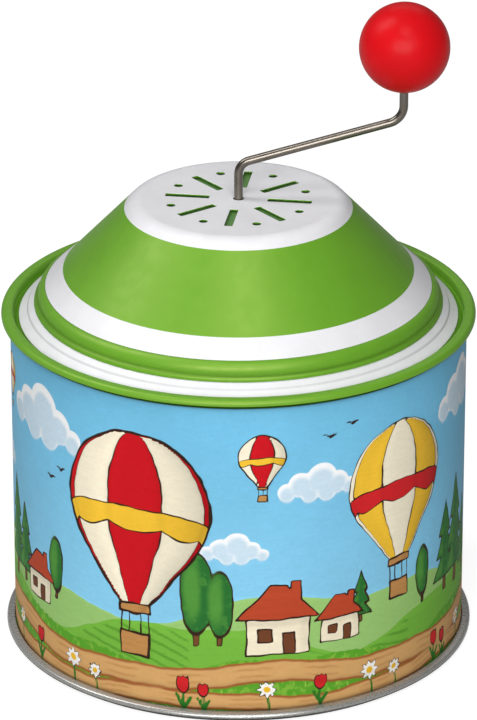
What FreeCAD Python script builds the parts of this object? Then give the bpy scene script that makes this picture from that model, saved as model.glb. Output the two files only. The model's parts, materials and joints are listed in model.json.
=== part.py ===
import FreeCAD, Part
import math
import os

from FreeCAD import Vector

# Hand crank music box in a seamed tin.
# Millimetres and degrees. The origin is the centre of the base, +Z is up, the crank's arm points along +X,
# and the body's side seam is at the back, +Y.

# Tin
BODY_RADIUS = 49.7
BODY_HEIGHT = 75.9
SHEET = 0.3
SEAM_REACH = 1.9
SEAM_HEIGHT = 2.5
SEAM_FLAT = 0.2
SEAM_INNER_ROUND = 0.5
SEAM_COVER = 0.6
SIDE_LAP = 6.0
SIDE_LAP_END = 5.0
SIDE_LINE_WIDTH = 0.4
SIDE_LINE_DEPTH = 0.12

# Bottom end
PANEL_DEPTH = 3.2
COUNTERSINK_DEPTH = 4.2
COUNTERSINK_WIDTH = 2.8
PANEL_STEP = 1.0
PANEL_BEAD_MARGIN = 3.8
PANEL_BEAD_WIDTH = 4.0
PANEL_BEAD_HEIGHT = 0.5

# Ring between body and lid
RING_WIDTH = 5.25
LEDGE_RISE = 1.05
LEDGE_WIDTH = 0.25
RING_STEP_OUT = 1.0
RING_STEP_RUN = 0.3
RING_STEP_DROP = 0.5
GROOVE_FLOOR = 0.35
GROOVE_DEPTH = 2.3
NECK_DEPTH = 4.9

# Lid
LID_FLANGE = 0.5
LID_FLANGE_EDGE = 0.4
PLUG_DEPTH = 4.9
BEAD_RADIUS = 2.3
BEAD_RISE = 1.75
BEAD_START_SLOPE = 15.0
BAND_WIDTH = 3.87
BAND_SLOPE = 42.8
CONE_SLOPE = 46.6
LID_TOP_RADIUS = 22.75
TOP_ROUND = 4.0

# Sound holes in the lid's top
SOUND_HOLES = 8
SLOT_INNER_RADIUS = 6.35
SLOT_OUTER_RADIUS = 15.9
SLOT_WIDTH = 1.8
SLOT_TURN = -8.0
HOLE_RADIUS = 0.95
HOLE_CIRCLE = 15.0
HOLE_TURN = 15.0

# Pan under the sound holes
PAN_DEPTH = 0.5
PAN_EDGE_GAP = 1.1
PAN_FLANGE = 1.4
PAN_WALL_RUN = 1.0
PAN_HOLE_RADIUS = 1.3

# Crank and knob
WIRE_RADIUS = 0.95
CRANK_THROW = 35.36
ARM_RISE_ABOVE_LID = 8.05
ARM_SLOPE = 16.1
LOWER_BEND = 3.2
UPPER_BEND = 4.1
KNOB_LIFT = 16.35
KNOB_RADIUS = 9.75
WIRE_IN_KNOB = 1.7
WIRE_CHAMFER = 0.2
GROOVE_IN_WIRE = 0.2
SNAP_RIB = 0.8
SNAP_RIB_BELOW_TIP = 3.0
SNAP_PLAY = 0.2
SLEEVE_RADIUS = 2.5
SLEEVE_RECESS = 0.8
SLEEVE_ROOF = 0.8
SLEEVE_HEADROOM = 0.4

# Dish that carries the movement inside the lid
DISH_DEPTH = 5.7
DISH_SHEET = 1.0
DISH_SKIRT = 6.0
DISH_BORE = 3.2
DISH_WINDOWS = 3
DISH_WINDOW_RADIUS = 4.5
DISH_WINDOW_CIRCLE = 18.0
DISH_WINDOW_FIRST = 190.0
DISH_WINDOW_STEP = 45.0

# Worm and wheel
GEAR_MODULE = 0.6
WHEEL_TEETH = 20
WHEEL_WIDTH = 2.0
WHEEL_TOOTH_SHARE = 0.36
WORM_PITCH_RADIUS = 3.5
WORM_THREAD_SHARE = 0.42
WORM_SHOULDER = 0.8
TOOTH_HEIGHT = 0.5
TOOTH_DEPTH = 0.75
FLANK_ANGLE = 20.0
WHEEL_HUB_RADIUS = 2.8

# Pinned cylinder
CYLINDER_RADIUS = 6.5
CYLINDER_WALL = 0.5
CYLINDER_MARGIN = 0.3
CYLINDER_GAP = 0.5
CAP_THICKNESS = 2.0
CAP_BOSS_RADIUS = 2.5
ARBOR_RADIUS = 1.0
PIN_HEIGHT = 0.6
PIN_RADIUS = 0.22
PINS_PER_NOTE = 5
PIN_SPREAD = 137.5

# Comb
NOTES = 18
NOTE_PITCH = 1.078
TOOTH_GAP = 0.28
COMB_SHEET = 1.2
COMB_TOOTH_SHEET = 0.7
COMB_LENGTH = 22.0
COMB_BASE_LOW = 8.0
COMB_BASE_HIGH = 13.5
COMB_TIP_GAP = 0.15

# Bedplate and bracket
PLATE = 3.0
CHEEK = 2.5
CHEEK_REACH = 4.0
CHEEK_UP = 3.5
CHEEK_DOWN = 4.5
ARBOR_END_PLAY = 0.2
PLATE_CLEARANCE = 0.9
FLANGE_HALF_WIDTH = 11.0
FLANGE_FRONT = 6.0
SEAT_MARGIN = 0.5
BRACKET_SHEET = 1.5
BRACKET_EDGE = 0.5
BRACKET_LEG_GAP = 0.9

# Bushes, washers and clips
BUSH_RADIUS = 2.0
BUSH_FLANGE_RADIUS = 3.1
BUSH_FLANGE = 0.8
BUSH_STAND_UP = 0.5
WASHER_RADIUS = 2.6
WASHER_SHEET = 0.4
SHAFT_END_PLAY = 0.2
CLIP_SHEET = 0.6
CLIP_RADIUS = 2.3
CLIP_MOUTH = 1.4
SHAFT_BELOW_CLIP = 1.2
RING_SHEET = 0.5
RING_RADIUS = 2.1

# Screws
SCREW_RADIUS = 1.0
SCREW_HEAD_RADIUS = 2.0
SCREW_HEAD = 1.3
SCREW_SLOT_WIDTH = 0.5
SCREW_SLOT_DEPTH = 0.6
DISH_SCREW_X = 7.0
DISH_SCREW_Y = 3.0
SCREW_HEAD_GAP = 0.6
SCREW_END_GAP = 0.2

# Clearances
FIT = 0.02
RUNNING = 0.05
LID_HOLE_CLEARANCE = 0.2

# Worked out from the sizes above
SEAM_OUTER = BODY_RADIUS + SEAM_REACH
WALL_INNER = BODY_RADIUS - SHEET
SEAM_INNER = WALL_INNER - FIT - SHEET
SEAM_ROUND = (SEAM_HEIGHT - SEAM_FLAT) / 2

LID_RADIUS = BODY_RADIUS - RING_WIDTH
PLUG_OUTER = LID_RADIUS - LID_FLANGE
FOLD_RADIUS = PLUG_OUTER - SHEET
LEDGE_Z = BODY_HEIGHT + LEDGE_RISE
BEAD_Z = LEDGE_Z + BEAD_RISE
BAND_LOW_R = FOLD_RADIUS - BEAD_RADIUS * (1 - math.sin(math.radians(BEAD_START_SLOPE)))
BAND_LOW_Z = BEAD_Z + BEAD_RADIUS * math.cos(math.radians(BEAD_START_SLOPE))
CONE_LOW_R = BAND_LOW_R - BAND_WIDTH
CONE_LOW_Z = BAND_LOW_Z + BAND_WIDTH * math.tan(math.radians(BAND_SLOPE))
CONE_TAN = math.tan(math.radians(CONE_SLOPE))
CONE_SIN = math.sin(math.radians(CONE_SLOPE))
LID_TOP = CONE_LOW_Z + (CONE_LOW_R - LID_TOP_RADIUS) * CONE_TAN
LID_FLAT_RADIUS = LID_TOP_RADIUS - TOP_ROUND * math.tan(math.radians(CONE_SLOPE / 2))

ELBOW_Z = LID_TOP + ARM_RISE_ABOVE_LID
UPPER_ELBOW_Z = ELBOW_Z + CRANK_THROW * math.tan(math.radians(ARM_SLOPE))
KNOB_Z = UPPER_ELBOW_Z + KNOB_LIFT
WIRE_TIP = KNOB_Z + WIRE_IN_KNOB
SNAP_Z = WIRE_TIP - SNAP_RIB_BELOW_TIP

DISH_TOP = LID_TOP - DISH_DEPTH
FLANGE_TOP = DISH_TOP - DISH_SHEET
FLANGE_LOW = FLANGE_TOP - PLATE

# The worm is as tall as the pinned cylinder is thick, and its thread has an even number of turns
PIN_TIP = CYLINDER_RADIUS + PIN_HEIGHT
WORM_TOP = FLANGE_LOW - BUSH_FLANGE - SHAFT_END_PLAY - WASHER_SHEET
AXIS_Z = WORM_TOP - PIN_TIP
WORM_LOW = AXIS_Z - PIN_TIP
WHEEL_PITCH_RADIUS = GEAR_MODULE * WHEEL_TEETH / 2
WORM_TIP_RADIUS = WORM_PITCH_RADIUS + TOOTH_HEIGHT
AXIS_Y = WHEEL_PITCH_RADIUS + WORM_PITCH_RADIUS
LEAD = math.pi * GEAR_MODULE
WORM_TURNS = 2 * math.floor((PIN_TIP - WORM_SHOULDER) / LEAD)

COMB_WIDTH = NOTES * NOTE_PITCH
BRACKET_TOE = WORM_TIP_RADIUS + BRACKET_EDGE
CYLINDER_START = BRACKET_TOE + CYLINDER_GAP
CYLINDER_END = CYLINDER_START + COMB_WIDTH + 2 * CYLINDER_MARGIN
LEFT_CHEEK_FACE = -CYLINDER_START
RIGHT_CHEEK_FACE = CYLINDER_END + PLATE_CLEARANCE + ARBOR_END_PLAY
CHEEK_TOP = AXIS_Z + CHEEK_UP
CHEEK_LOW = AXIS_Z - CHEEK_DOWN
PLATE_FACE = AXIS_Y + PIN_TIP + PLATE_CLEARANCE
PLATE_BACK = PLATE_FACE + PLATE

COMB_TIP = AXIS_Z - PIN_TIP - COMB_TIP_GAP
COMB_LOW = COMB_TIP - COMB_LENGTH
COMB_LEFT = CYLINDER_START + CYLINDER_MARGIN
SEAT_FACE = AXIS_Y + COMB_SHEET / 2
SEAT_LOW = COMB_LOW - SEAT_MARGIN

BRACKET_TOP = WORM_LOW - WASHER_SHEET - SHAFT_END_PLAY - BUSH_FLANGE
BRACKET_LOW = BRACKET_TOP - BRACKET_SHEET
BRACKET_FACE = LEFT_CHEEK_FACE - CHEEK
BRACKET_LEG_FRONT = AXIS_Y + RING_RADIUS + BRACKET_LEG_GAP
CLIP_TOP = BRACKET_LOW - SHAFT_END_PLAY
SHAFT_END = CLIP_TOP - CLIP_SHEET - SHAFT_BELOW_CLIP


def at(r, z):
    """Point of a section in the plane of X and Z."""
    return Vector(r, 0, z)


def on_circle(centre, radius, angle):
    """Point (r, z) on a circle of a section, with the angle counted from +r towards +z."""
    turn = math.radians(angle)
    return (centre[0] + radius * math.cos(turn), centre[1] + radius * math.sin(turn))


def edges_of(steps):
    """Edges through the steps: (r, z) ends a line, and ((r, z), (r, z)) is an arc through the first point."""
    edges = []
    here = steps[0]
    for step in steps[1:]:
        if isinstance(step[0], tuple):
            middle, end = step
            edges.append(Part.Arc(at(*here), at(*middle), at(*end)).toShape())
        else:
            end = step
            edges.append(Part.LineSegment(at(*here), at(*end)).toShape())
        here = end
    return edges


def outline(*steps):
    """Closed face with the steps as its border, in the plane of X and Z."""
    return Part.Face(Part.Wire(edges_of(steps + (steps[0],))))


def sheet_section(thickness, *steps):
    """Face of a thin sheet with one side along the steps and its thickness on the side of the sign."""
    return Part.Wire(edges_of(steps)).makeOffset2D(thickness, 0, True, True)


def spun(face, x=0.0, y=0.0):
    """Solid of a section turned about the upright line through (x, y)."""
    solid = face.revolve(Vector(), Vector(0, 0, 1), 360)
    solid.translate(Vector(x, y, 0))
    return solid


def box(x0, x1, y0, y1, z0, z1):
    return Part.makeBox(x1 - x0, y1 - y0, z1 - z0, Vector(x0, y0, z0))


def upright(radius, z0, z1, x=0.0, y=0.0):
    """Cylinder along Z."""
    return Part.makeCylinder(radius, z1 - z0, Vector(x, y, z0))


def along_x(radius, x0, x1, y=AXIS_Y, z=AXIS_Z):
    """Cylinder along X, on the axis of the pinned cylinder unless another is given."""
    return Part.makeCylinder(radius, x1 - x0, Vector(x0, y, z), Vector(1, 0, 0))


def along_y(radius, y0, y1, x, z):
    return Part.makeCylinder(radius, y1 - y0, Vector(x, y0, z), Vector(0, 1, 0))


def turned_about_z(shape, angle):
    copy = shape.copy()
    copy.rotate(Vector(), Vector(0, 0, 1), angle)
    return copy


def screw(length):
    """Slotted screw with the underside of its head at the origin and its shank down along -Z."""
    head = upright(SCREW_HEAD_RADIUS, 0, SCREW_HEAD)
    slot = box(-SCREW_HEAD_RADIUS, SCREW_HEAD_RADIUS, -SCREW_SLOT_WIDTH / 2, SCREW_SLOT_WIDTH / 2,
               SCREW_HEAD - SCREW_SLOT_DEPTH, SCREW_HEAD)
    return head.fuse(upright(SCREW_RADIUS, -length, 0)).removeSplitter().cut(slot)


def placed_screw(length, place, outward):
    """Screw with its head's underside at the place and its head facing outward."""
    one = screw(length)
    one.Placement = FreeCAD.Placement(place, FreeCAD.Rotation(Vector(0, 0, 1), outward))
    return one


def washer(inner, outer, z0, z1):
    return upright(outer, z0, z1).cut(upright(inner, z0, z1))


def seam_section(edge_z, outward):
    """Rolled seam at one end of the body, with the slot that the body's wall stands in.

    edge_z is the height of the seam's outer edge, and outward is 1 at the top of the body and -1 at its foot.
    """
    def deep(depth):
        return edge_z - outward * depth

    half = math.sqrt(0.5)
    slot_in = WALL_INNER - FIT
    slot_out = BODY_RADIUS + FIT
    inner_mid = (SEAM_INNER + SEAM_INNER_ROUND * (1 - half), deep(SEAM_INNER_ROUND * (1 - half)))
    edge_mid = (SEAM_OUTER - SEAM_ROUND * (1 - half), deep(SEAM_ROUND * (1 - half)))
    foot_mid = (SEAM_OUTER - SEAM_ROUND * (1 - half), deep(SEAM_HEIGHT - SEAM_ROUND * (1 - half)))
    return outline(
        (SEAM_INNER, deep(SEAM_HEIGHT)),
        (SEAM_INNER, deep(SEAM_INNER_ROUND)),
        (inner_mid, (SEAM_INNER + SEAM_INNER_ROUND, deep(0))),
        (SEAM_OUTER - SEAM_ROUND, deep(0)),
        (edge_mid, (SEAM_OUTER, deep(SEAM_ROUND))),
        (SEAM_OUTER, deep(SEAM_HEIGHT - SEAM_ROUND)),
        (foot_mid, (SEAM_OUTER - SEAM_ROUND, deep(SEAM_HEIGHT))),
        (slot_out, deep(SEAM_HEIGHT)),
        (slot_out, deep(SEAM_COVER)),
        (slot_in, deep(SEAM_COVER)),
        (slot_in, deep(SEAM_HEIGHT)),
    )


def tin_body():
    """Tube with its lap inside at the back and the lap's fine line outside."""
    low = SEAM_COVER + FIT
    high = BODY_HEIGHT - SEAM_COVER - FIT
    tube = upright(BODY_RADIUS, low, high).cut(upright(WALL_INNER, low, high))
    lap_low = SEAM_HEIGHT + SIDE_LAP_END
    lap_high = BODY_HEIGHT - SEAM_HEIGHT - SIDE_LAP_END
    lap = upright(BODY_RADIUS - SHEET / 2, lap_low, lap_high)
    lap = lap.cut(upright(WALL_INNER - SHEET, lap_low, lap_high))
    lap = lap.common(box(-SIDE_LAP / 2, SIDE_LAP / 2, 0, BODY_RADIUS, lap_low, lap_high))
    line = box(-SIDE_LAP / 2 - SIDE_LINE_WIDTH, -SIDE_LAP / 2, BODY_RADIUS / 2, BODY_RADIUS, low, high)
    line = line.cut(upright(BODY_RADIUS - SIDE_LINE_DEPTH, low, high))
    return tube.fuse(lap).removeSplitter().cut(line)


def bottom_end():
    """Seamed bottom with a recessed panel, one stiffening bead and a countersink."""
    sink_in = SEAM_INNER - COUNTERSINK_WIDTH
    bead_out = sink_in - PANEL_STEP - PANEL_BEAD_MARGIN
    bead_in = bead_out - PANEL_BEAD_WIDTH
    bead_crown = ((bead_in + bead_out) / 2, PANEL_DEPTH - PANEL_BEAD_HEIGHT)
    panel = sheet_section(
        SHEET,
        (0.0, PANEL_DEPTH),
        (bead_in, PANEL_DEPTH),
        (bead_crown, (bead_out, PANEL_DEPTH)),
        (sink_in - PANEL_STEP, PANEL_DEPTH),
        (sink_in, COUNTERSINK_DEPTH),
        (SEAM_INNER, COUNTERSINK_DEPTH),
        (SEAM_INNER, SEAM_HEIGHT - SEAM_COVER),
    )
    return spun(panel).fuse(spun(seam_section(0.0, -1))).removeSplitter()


def top_ring():
    """Seamed ring: groove inside the seam, sloped band with a fine step, ledge and neck for the lid."""
    neck = PLUG_OUTER + FIT
    ledge_out = LID_RADIUS + LEDGE_WIDTH
    floor_r = SEAM_INNER - GROOVE_FLOOR
    floor_z = BODY_HEIGHT - GROOVE_DEPTH
    slope = (LEDGE_Z - RING_STEP_DROP - floor_z) / (floor_r - RING_STEP_RUN - ledge_out)
    step_in = (ledge_out + RING_STEP_OUT, LEDGE_Z - RING_STEP_OUT * slope)
    step_out = (step_in[0] + RING_STEP_RUN, step_in[1] - RING_STEP_DROP)
    band = sheet_section(
        -SHEET,
        (neck, BODY_HEIGHT - NECK_DEPTH),
        (neck, LEDGE_Z),
        (ledge_out, LEDGE_Z),
        step_in,
        step_out,
        (floor_r, floor_z),
        (SEAM_INNER + SHEET / 2, floor_z),
    )
    return spun(band).fuse(spun(seam_section(BODY_HEIGHT, 1))).removeSplitter()


def lid_path():
    """Outer side of the lid's sheet, from the crank's hole to the foot of the plug's wall."""
    round_centre = (LID_FLAT_RADIUS, LID_TOP - TOP_ROUND)
    round_middle = on_circle(round_centre, TOP_ROUND, 90 - CONE_SLOPE / 2)
    round_end = on_circle(round_centre, TOP_ROUND, 90 - CONE_SLOPE)
    bead_centre = (FOLD_RADIUS - BEAD_RADIUS, BEAD_Z)
    bead_middle = on_circle(bead_centre, BEAD_RADIUS, (90 - BEAD_START_SLOPE) / 2)
    return (
        (WIRE_RADIUS + LID_HOLE_CLEARANCE, LID_TOP),
        (LID_FLAT_RADIUS, LID_TOP),
        (round_middle, round_end),
        (CONE_LOW_R, CONE_LOW_Z),
        (BAND_LOW_R, BAND_LOW_Z),
        (bead_middle, (FOLD_RADIUS, BEAD_Z)),
        (FOLD_RADIUS, LEDGE_Z - PLUG_DEPTH),
    )


def lid_flange():
    """Hemmed flange and outer wall of the plug, folded back against its inner wall."""
    hem = LID_RADIUS - FOLD_RADIUS
    centre = (FOLD_RADIUS, LEDGE_Z + LID_FLANGE_EDGE)
    return outline(
        (FOLD_RADIUS, LEDGE_Z + LID_FLANGE_EDGE + hem),
        (on_circle(centre, hem, 45), (LID_RADIUS, LEDGE_Z + LID_FLANGE_EDGE)),
        (LID_RADIUS, LEDGE_Z),
        (PLUG_OUTER, LEDGE_Z),
        (PLUG_OUTER, LEDGE_Z - PLUG_DEPTH),
        (FOLD_RADIUS, LEDGE_Z - PLUG_DEPTH),
    )


def sound_slot():
    low = LID_TOP - DISH_DEPTH / 2
    return box(SLOT_INNER_RADIUS, SLOT_OUTER_RADIUS, -SLOT_WIDTH / 2, SLOT_WIDTH / 2, low, LID_TOP)


def lid():
    shell = spun(sheet_section(-SHEET, *lid_path())).fuse(spun(lid_flange())).removeSplitter()
    hole = upright(HOLE_RADIUS, LID_TOP - DISH_DEPTH / 2, LID_TOP, HOLE_CIRCLE)
    pierced = []
    for number in range(SOUND_HOLES):
        turn = number * 360 / SOUND_HOLES
        pierced.append(turned_about_z(sound_slot(), SLOT_TURN + turn))
        pierced.append(turned_about_z(hole, HOLE_TURN + turn))
    return shell.cut(pierced)


def sound_pan():
    """Pressed pan close under the slots, with a flange on the lid's underside and holes between the slots."""
    under = LID_TOP - SHEET - FIT
    floor = under - PAN_DEPTH
    outer = LID_FLAT_RADIUS - PAN_EDGE_GAP
    wall_top = outer - PAN_FLANGE
    pan = spun(sheet_section(
        -SHEET,
        (WIRE_RADIUS + LID_HOLE_CLEARANCE, floor),
        (wall_top - PAN_WALL_RUN, floor),
        (wall_top, under),
        (outer, under),
    ))
    hole = upright(PAN_HOLE_RADIUS, floor - SHEET, floor, (SLOT_INNER_RADIUS + SLOT_OUTER_RADIUS) / 2)
    first = SLOT_TURN + 180 / SOUND_HOLES
    return pan.cut([turned_about_z(hole, first + number * 360 / SOUND_HOLES)
                    for number in range(SOUND_HOLES)])


def dish_radius(z):
    """Outer radius of the dish's skirt, which lies along the inside of the lid's cone."""
    cone = LID_TOP_RADIUS + (LID_TOP - z) / CONE_TAN
    return cone - (SHEET + FIT) / CONE_SIN


def carrier_dish():
    """Pressed dish with a sloped skirt, a bore for the upper bush, screw holes and sound windows."""
    skirt_low = DISH_TOP - DISH_SKIRT
    dish = spun(sheet_section(
        -DISH_SHEET,
        (DISH_BORE, DISH_TOP),
        (dish_radius(DISH_TOP), DISH_TOP),
        (dish_radius(skirt_low), skirt_low),
    ))
    holes = [upright(SCREW_RADIUS + FIT, FLANGE_TOP, DISH_TOP, x, DISH_SCREW_Y)
             for x in (-DISH_SCREW_X, DISH_SCREW_X)]
    window = upright(DISH_WINDOW_RADIUS, FLANGE_TOP, DISH_TOP, DISH_WINDOW_CIRCLE)
    for number in range(DISH_WINDOWS):
        holes.append(turned_about_z(window, DISH_WINDOW_FIRST + number * DISH_WINDOW_STEP))
    return dish.cut(holes)


def carrier_screws():
    return [placed_screw(DISH_SHEET + PLATE, Vector(x, DISH_SCREW_Y, DISH_TOP), Vector(0, 0, 1))
            for x in (-DISH_SCREW_X, DISH_SCREW_X)]


def comb_screw_places():
    """The two quarter points of the comb's base."""
    z = COMB_LOW + COMB_BASE_LOW / 2
    return [(COMB_LEFT + COMB_WIDTH / 4, z), (COMB_LEFT + COMB_WIDTH * 3 / 4, z)]


def bracket_screw_places():
    """Two places, one above the other, in the middle of the left cheek behind the arbor."""
    y = (BRACKET_LEG_FRONT + PLATE_FACE) / 2
    middle = (CHEEK_TOP + CHEEK_LOW) / 2
    half = SCREW_HEAD_RADIUS + SCREW_HEAD_GAP / 2
    return [(y, middle - half), (y, middle + half)]


def bedplate():
    """Cast frame: back plate, top flange, two cheeks for the arbor and the comb's seat."""
    right = RIGHT_CHEEK_FACE + CHEEK
    cheek_front = AXIS_Y - CHEEK_REACH
    seat_top = COMB_LOW + COMB_BASE_LOW
    cast = box(BRACKET_FACE, right, PLATE_FACE, PLATE_BACK, SEAT_LOW, CHEEK_TOP)
    cast = cast.fuse([
        box(-FLANGE_HALF_WIDTH, FLANGE_HALF_WIDTH, PLATE_FACE, PLATE_BACK, CHEEK_LOW, FLANGE_TOP),
        box(-FLANGE_HALF_WIDTH, FLANGE_HALF_WIDTH, -FLANGE_FRONT, PLATE_BACK, FLANGE_LOW, FLANGE_TOP),
        box(BRACKET_FACE, LEFT_CHEEK_FACE, cheek_front, PLATE_FACE, CHEEK_LOW, CHEEK_TOP),
        box(RIGHT_CHEEK_FACE, right, cheek_front, PLATE_FACE, CHEEK_LOW, CHEEK_TOP),
        box(COMB_LEFT, COMB_LEFT + COMB_WIDTH, SEAT_FACE, PLATE_FACE, SEAT_LOW, seat_top),
    ]).removeSplitter()
    holes = [
        upright(BUSH_RADIUS + FIT, FLANGE_LOW, FLANGE_TOP),
        along_x(ARBOR_RADIUS + RUNNING, BRACKET_FACE, right),
    ]
    for x in (-DISH_SCREW_X, DISH_SCREW_X):
        holes.append(upright(SCREW_RADIUS + FIT, FLANGE_LOW, FLANGE_TOP, x, DISH_SCREW_Y))
    for x, z in comb_screw_places():
        holes.append(along_y(SCREW_RADIUS + FIT, SEAT_FACE, PLATE_FACE, x, z))
    for y, z in bracket_screw_places():
        holes.append(along_x(SCREW_RADIUS + FIT, BRACKET_FACE, LEFT_CHEEK_FACE, y, z))
    return cast.cut(holes)


def shaft_bracket():
    """Bent bracket: a leg on the left cheek and a foot under the worm."""
    left = BRACKET_FACE - BRACKET_SHEET
    leg = box(left, BRACKET_FACE, BRACKET_LEG_FRONT, PLATE_FACE, BRACKET_LOW, CHEEK_TOP)
    foot = box(left, BRACKET_TOE, -BRACKET_TOE, PLATE_FACE, BRACKET_LOW, BRACKET_TOP)
    holes = [upright(BUSH_RADIUS + FIT, BRACKET_LOW, BRACKET_TOP)]
    for y, z in bracket_screw_places():
        holes.append(along_x(SCREW_RADIUS + FIT, left, BRACKET_FACE, y, z))
    return leg.fuse(foot).removeSplitter().cut(holes)


def bracket_screws():
    left = BRACKET_FACE - BRACKET_SHEET
    length = BRACKET_SHEET + CHEEK - SCREW_END_GAP
    return [placed_screw(length, Vector(left, y, z), Vector(-1, 0, 0))
            for y, z in bracket_screw_places()]


def upper_bush():
    low = FLANGE_LOW - BUSH_FLANGE
    high = FLANGE_TOP + BUSH_STAND_UP
    bush = upright(BUSH_RADIUS, low, high).fuse(upright(BUSH_FLANGE_RADIUS, low, FLANGE_LOW)).removeSplitter()
    return bush.cut(upright(WIRE_RADIUS + RUNNING, low, high))


def lower_bush():
    high = BRACKET_TOP + BUSH_FLANGE
    bush = upright(BUSH_RADIUS, BRACKET_LOW, high)
    bush = bush.fuse(upright(BUSH_FLANGE_RADIUS, BRACKET_TOP, high)).removeSplitter()
    return bush.cut(upright(WIRE_RADIUS + RUNNING, BRACKET_LOW, high))


def comb():
    """Steel plate with 18 teeth that grow shorter towards the high notes."""
    base_y = SEAT_FACE - COMB_SHEET
    tooth_y = AXIS_Y - COMB_TOOTH_SHEET / 2
    right = COMB_LEFT + COMB_WIDTH
    base = outline(
        (COMB_LEFT, COMB_LOW),
        (right, COMB_LOW),
        (right, COMB_LOW + COMB_BASE_HIGH),
        (COMB_LEFT, COMB_LOW + COMB_BASE_LOW),
    ).extrude(Vector(0, COMB_SHEET, 0))
    base.translate(Vector(0, base_y, 0))
    teeth = []
    for note in range(NOTES):
        x = COMB_LEFT + note * NOTE_PITCH + TOOTH_GAP / 2
        root = COMB_LOW + COMB_BASE_LOW / 2 + note * (COMB_BASE_HIGH - COMB_BASE_LOW) / NOTES
        teeth.append(box(x, x + NOTE_PITCH - TOOTH_GAP, tooth_y, tooth_y + COMB_TOOTH_SHEET, root, COMB_TIP))
    holes = [along_y(SCREW_RADIUS + FIT, base_y, base_y + COMB_SHEET, x, z) for x, z in comb_screw_places()]
    return base.fuse(teeth).removeSplitter().cut(holes)


def comb_screws():
    length = COMB_SHEET + PLATE_FACE - SEAT_FACE - SCREW_END_GAP
    return [placed_screw(length, Vector(x, SEAT_FACE - COMB_SHEET, z), Vector(0, -1, 0))
            for x, z in comb_screw_places()]


def tune_pin(note, number):
    """One pin of the tune, standing on the cylinder's outside in the track of its note."""
    x = COMB_LEFT + (note + 0.5) * NOTE_PITCH
    turn = math.radians((note * PINS_PER_NOTE + number) * PIN_SPREAD)
    outward = Vector(0, math.cos(turn), math.sin(turn))
    foot = Vector(x, AXIS_Y, AXIS_Z) + outward * (CYLINDER_RADIUS - CYLINDER_WALL / 2)
    return Part.makeCylinder(PIN_RADIUS, PIN_HEIGHT + CYLINDER_WALL / 2, foot, outward)


def cylinder_sleeve():
    tube = along_x(CYLINDER_RADIUS, CYLINDER_START, CYLINDER_END)
    tube = tube.cut(along_x(CYLINDER_RADIUS - CYLINDER_WALL, CYLINDER_START, CYLINDER_END))
    pins = [tune_pin(note, number) for note in range(NOTES) for number in range(PINS_PER_NOTE)]
    return tube.fuse(pins)


def cylinder_caps():
    """Two caps inside the cylinder's ends, the right one with a boss that runs against its cheek."""
    radius = CYLINDER_RADIUS - CYLINDER_WALL - FIT
    left = along_x(radius, CYLINDER_START, CYLINDER_START + CAP_THICKNESS)
    right = along_x(radius, CYLINDER_END - CAP_THICKNESS, CYLINDER_END)
    boss = along_x(CAP_BOSS_RADIUS, CYLINDER_END, RIGHT_CHEEK_FACE - ARBOR_END_PLAY)
    right = right.fuse(boss).removeSplitter()
    bore = along_x(ARBOR_RADIUS + FIT, CYLINDER_START, RIGHT_CHEEK_FACE)
    return [left.cut(bore), right.cut(bore)]


def arbor_reach():
    """Inner faces of the two rings on the arbor's ends, left and right."""
    return (BRACKET_FACE - ARBOR_END_PLAY, RIGHT_CHEEK_FACE + CHEEK + ARBOR_END_PLAY)


def cylinder_arbor():
    left, right = arbor_reach()
    return along_x(ARBOR_RADIUS, left - RING_SHEET, right + RING_SHEET)


def arbor_clips():
    left, right = arbor_reach()
    bore = along_x(ARBOR_RADIUS + FIT, left - RING_SHEET, right + RING_SHEET)
    return [along_x(RING_RADIUS, left - RING_SHEET, left).cut(bore),
            along_x(RING_RADIUS, right, right + RING_SHEET).cut(bore)]


def wheel_point(radius, angle):
    turn = math.radians(angle)
    return Vector(-WHEEL_WIDTH / 2, AXIS_Y + radius * math.cos(turn), AXIS_Z + radius * math.sin(turn))


def worm_wheel():
    """Spur wheel with a tooth gap facing the worm, on a hub that reaches from the cheek to the cylinder."""
    pitch = 360 / WHEEL_TEETH
    narrowing = math.tan(math.radians(FLANK_ANGLE))
    half_tooth = WHEEL_TOOTH_SHARE * LEAD / 2
    root = WHEEL_PITCH_RADIUS - TOOTH_DEPTH
    tip = WHEEL_PITCH_RADIUS + TOOTH_HEIGHT
    root_half = math.degrees((half_tooth + TOOTH_DEPTH * narrowing) / root)
    tip_half = math.degrees((half_tooth - TOOTH_HEIGHT * narrowing) / tip)
    corners = []
    for number in range(WHEEL_TEETH):
        middle = 180 + (number + 0.5) * pitch
        corners.append(wheel_point(root, middle - root_half))
        corners.append(wheel_point(tip, middle - tip_half))
        corners.append(wheel_point(tip, middle + tip_half))
        corners.append(wheel_point(root, middle + root_half))
    rim = Part.Face(Part.makePolygon(corners + [corners[0]])).extrude(Vector(WHEEL_WIDTH, 0, 0))
    left = LEFT_CHEEK_FACE + ARBOR_END_PLAY
    wheel = rim.fuse(along_x(WHEEL_HUB_RADIUS, left, CYLINDER_START)).removeSplitter()
    return wheel.cut(along_x(ARBOR_RADIUS + FIT, left, CYLINDER_START))


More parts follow.
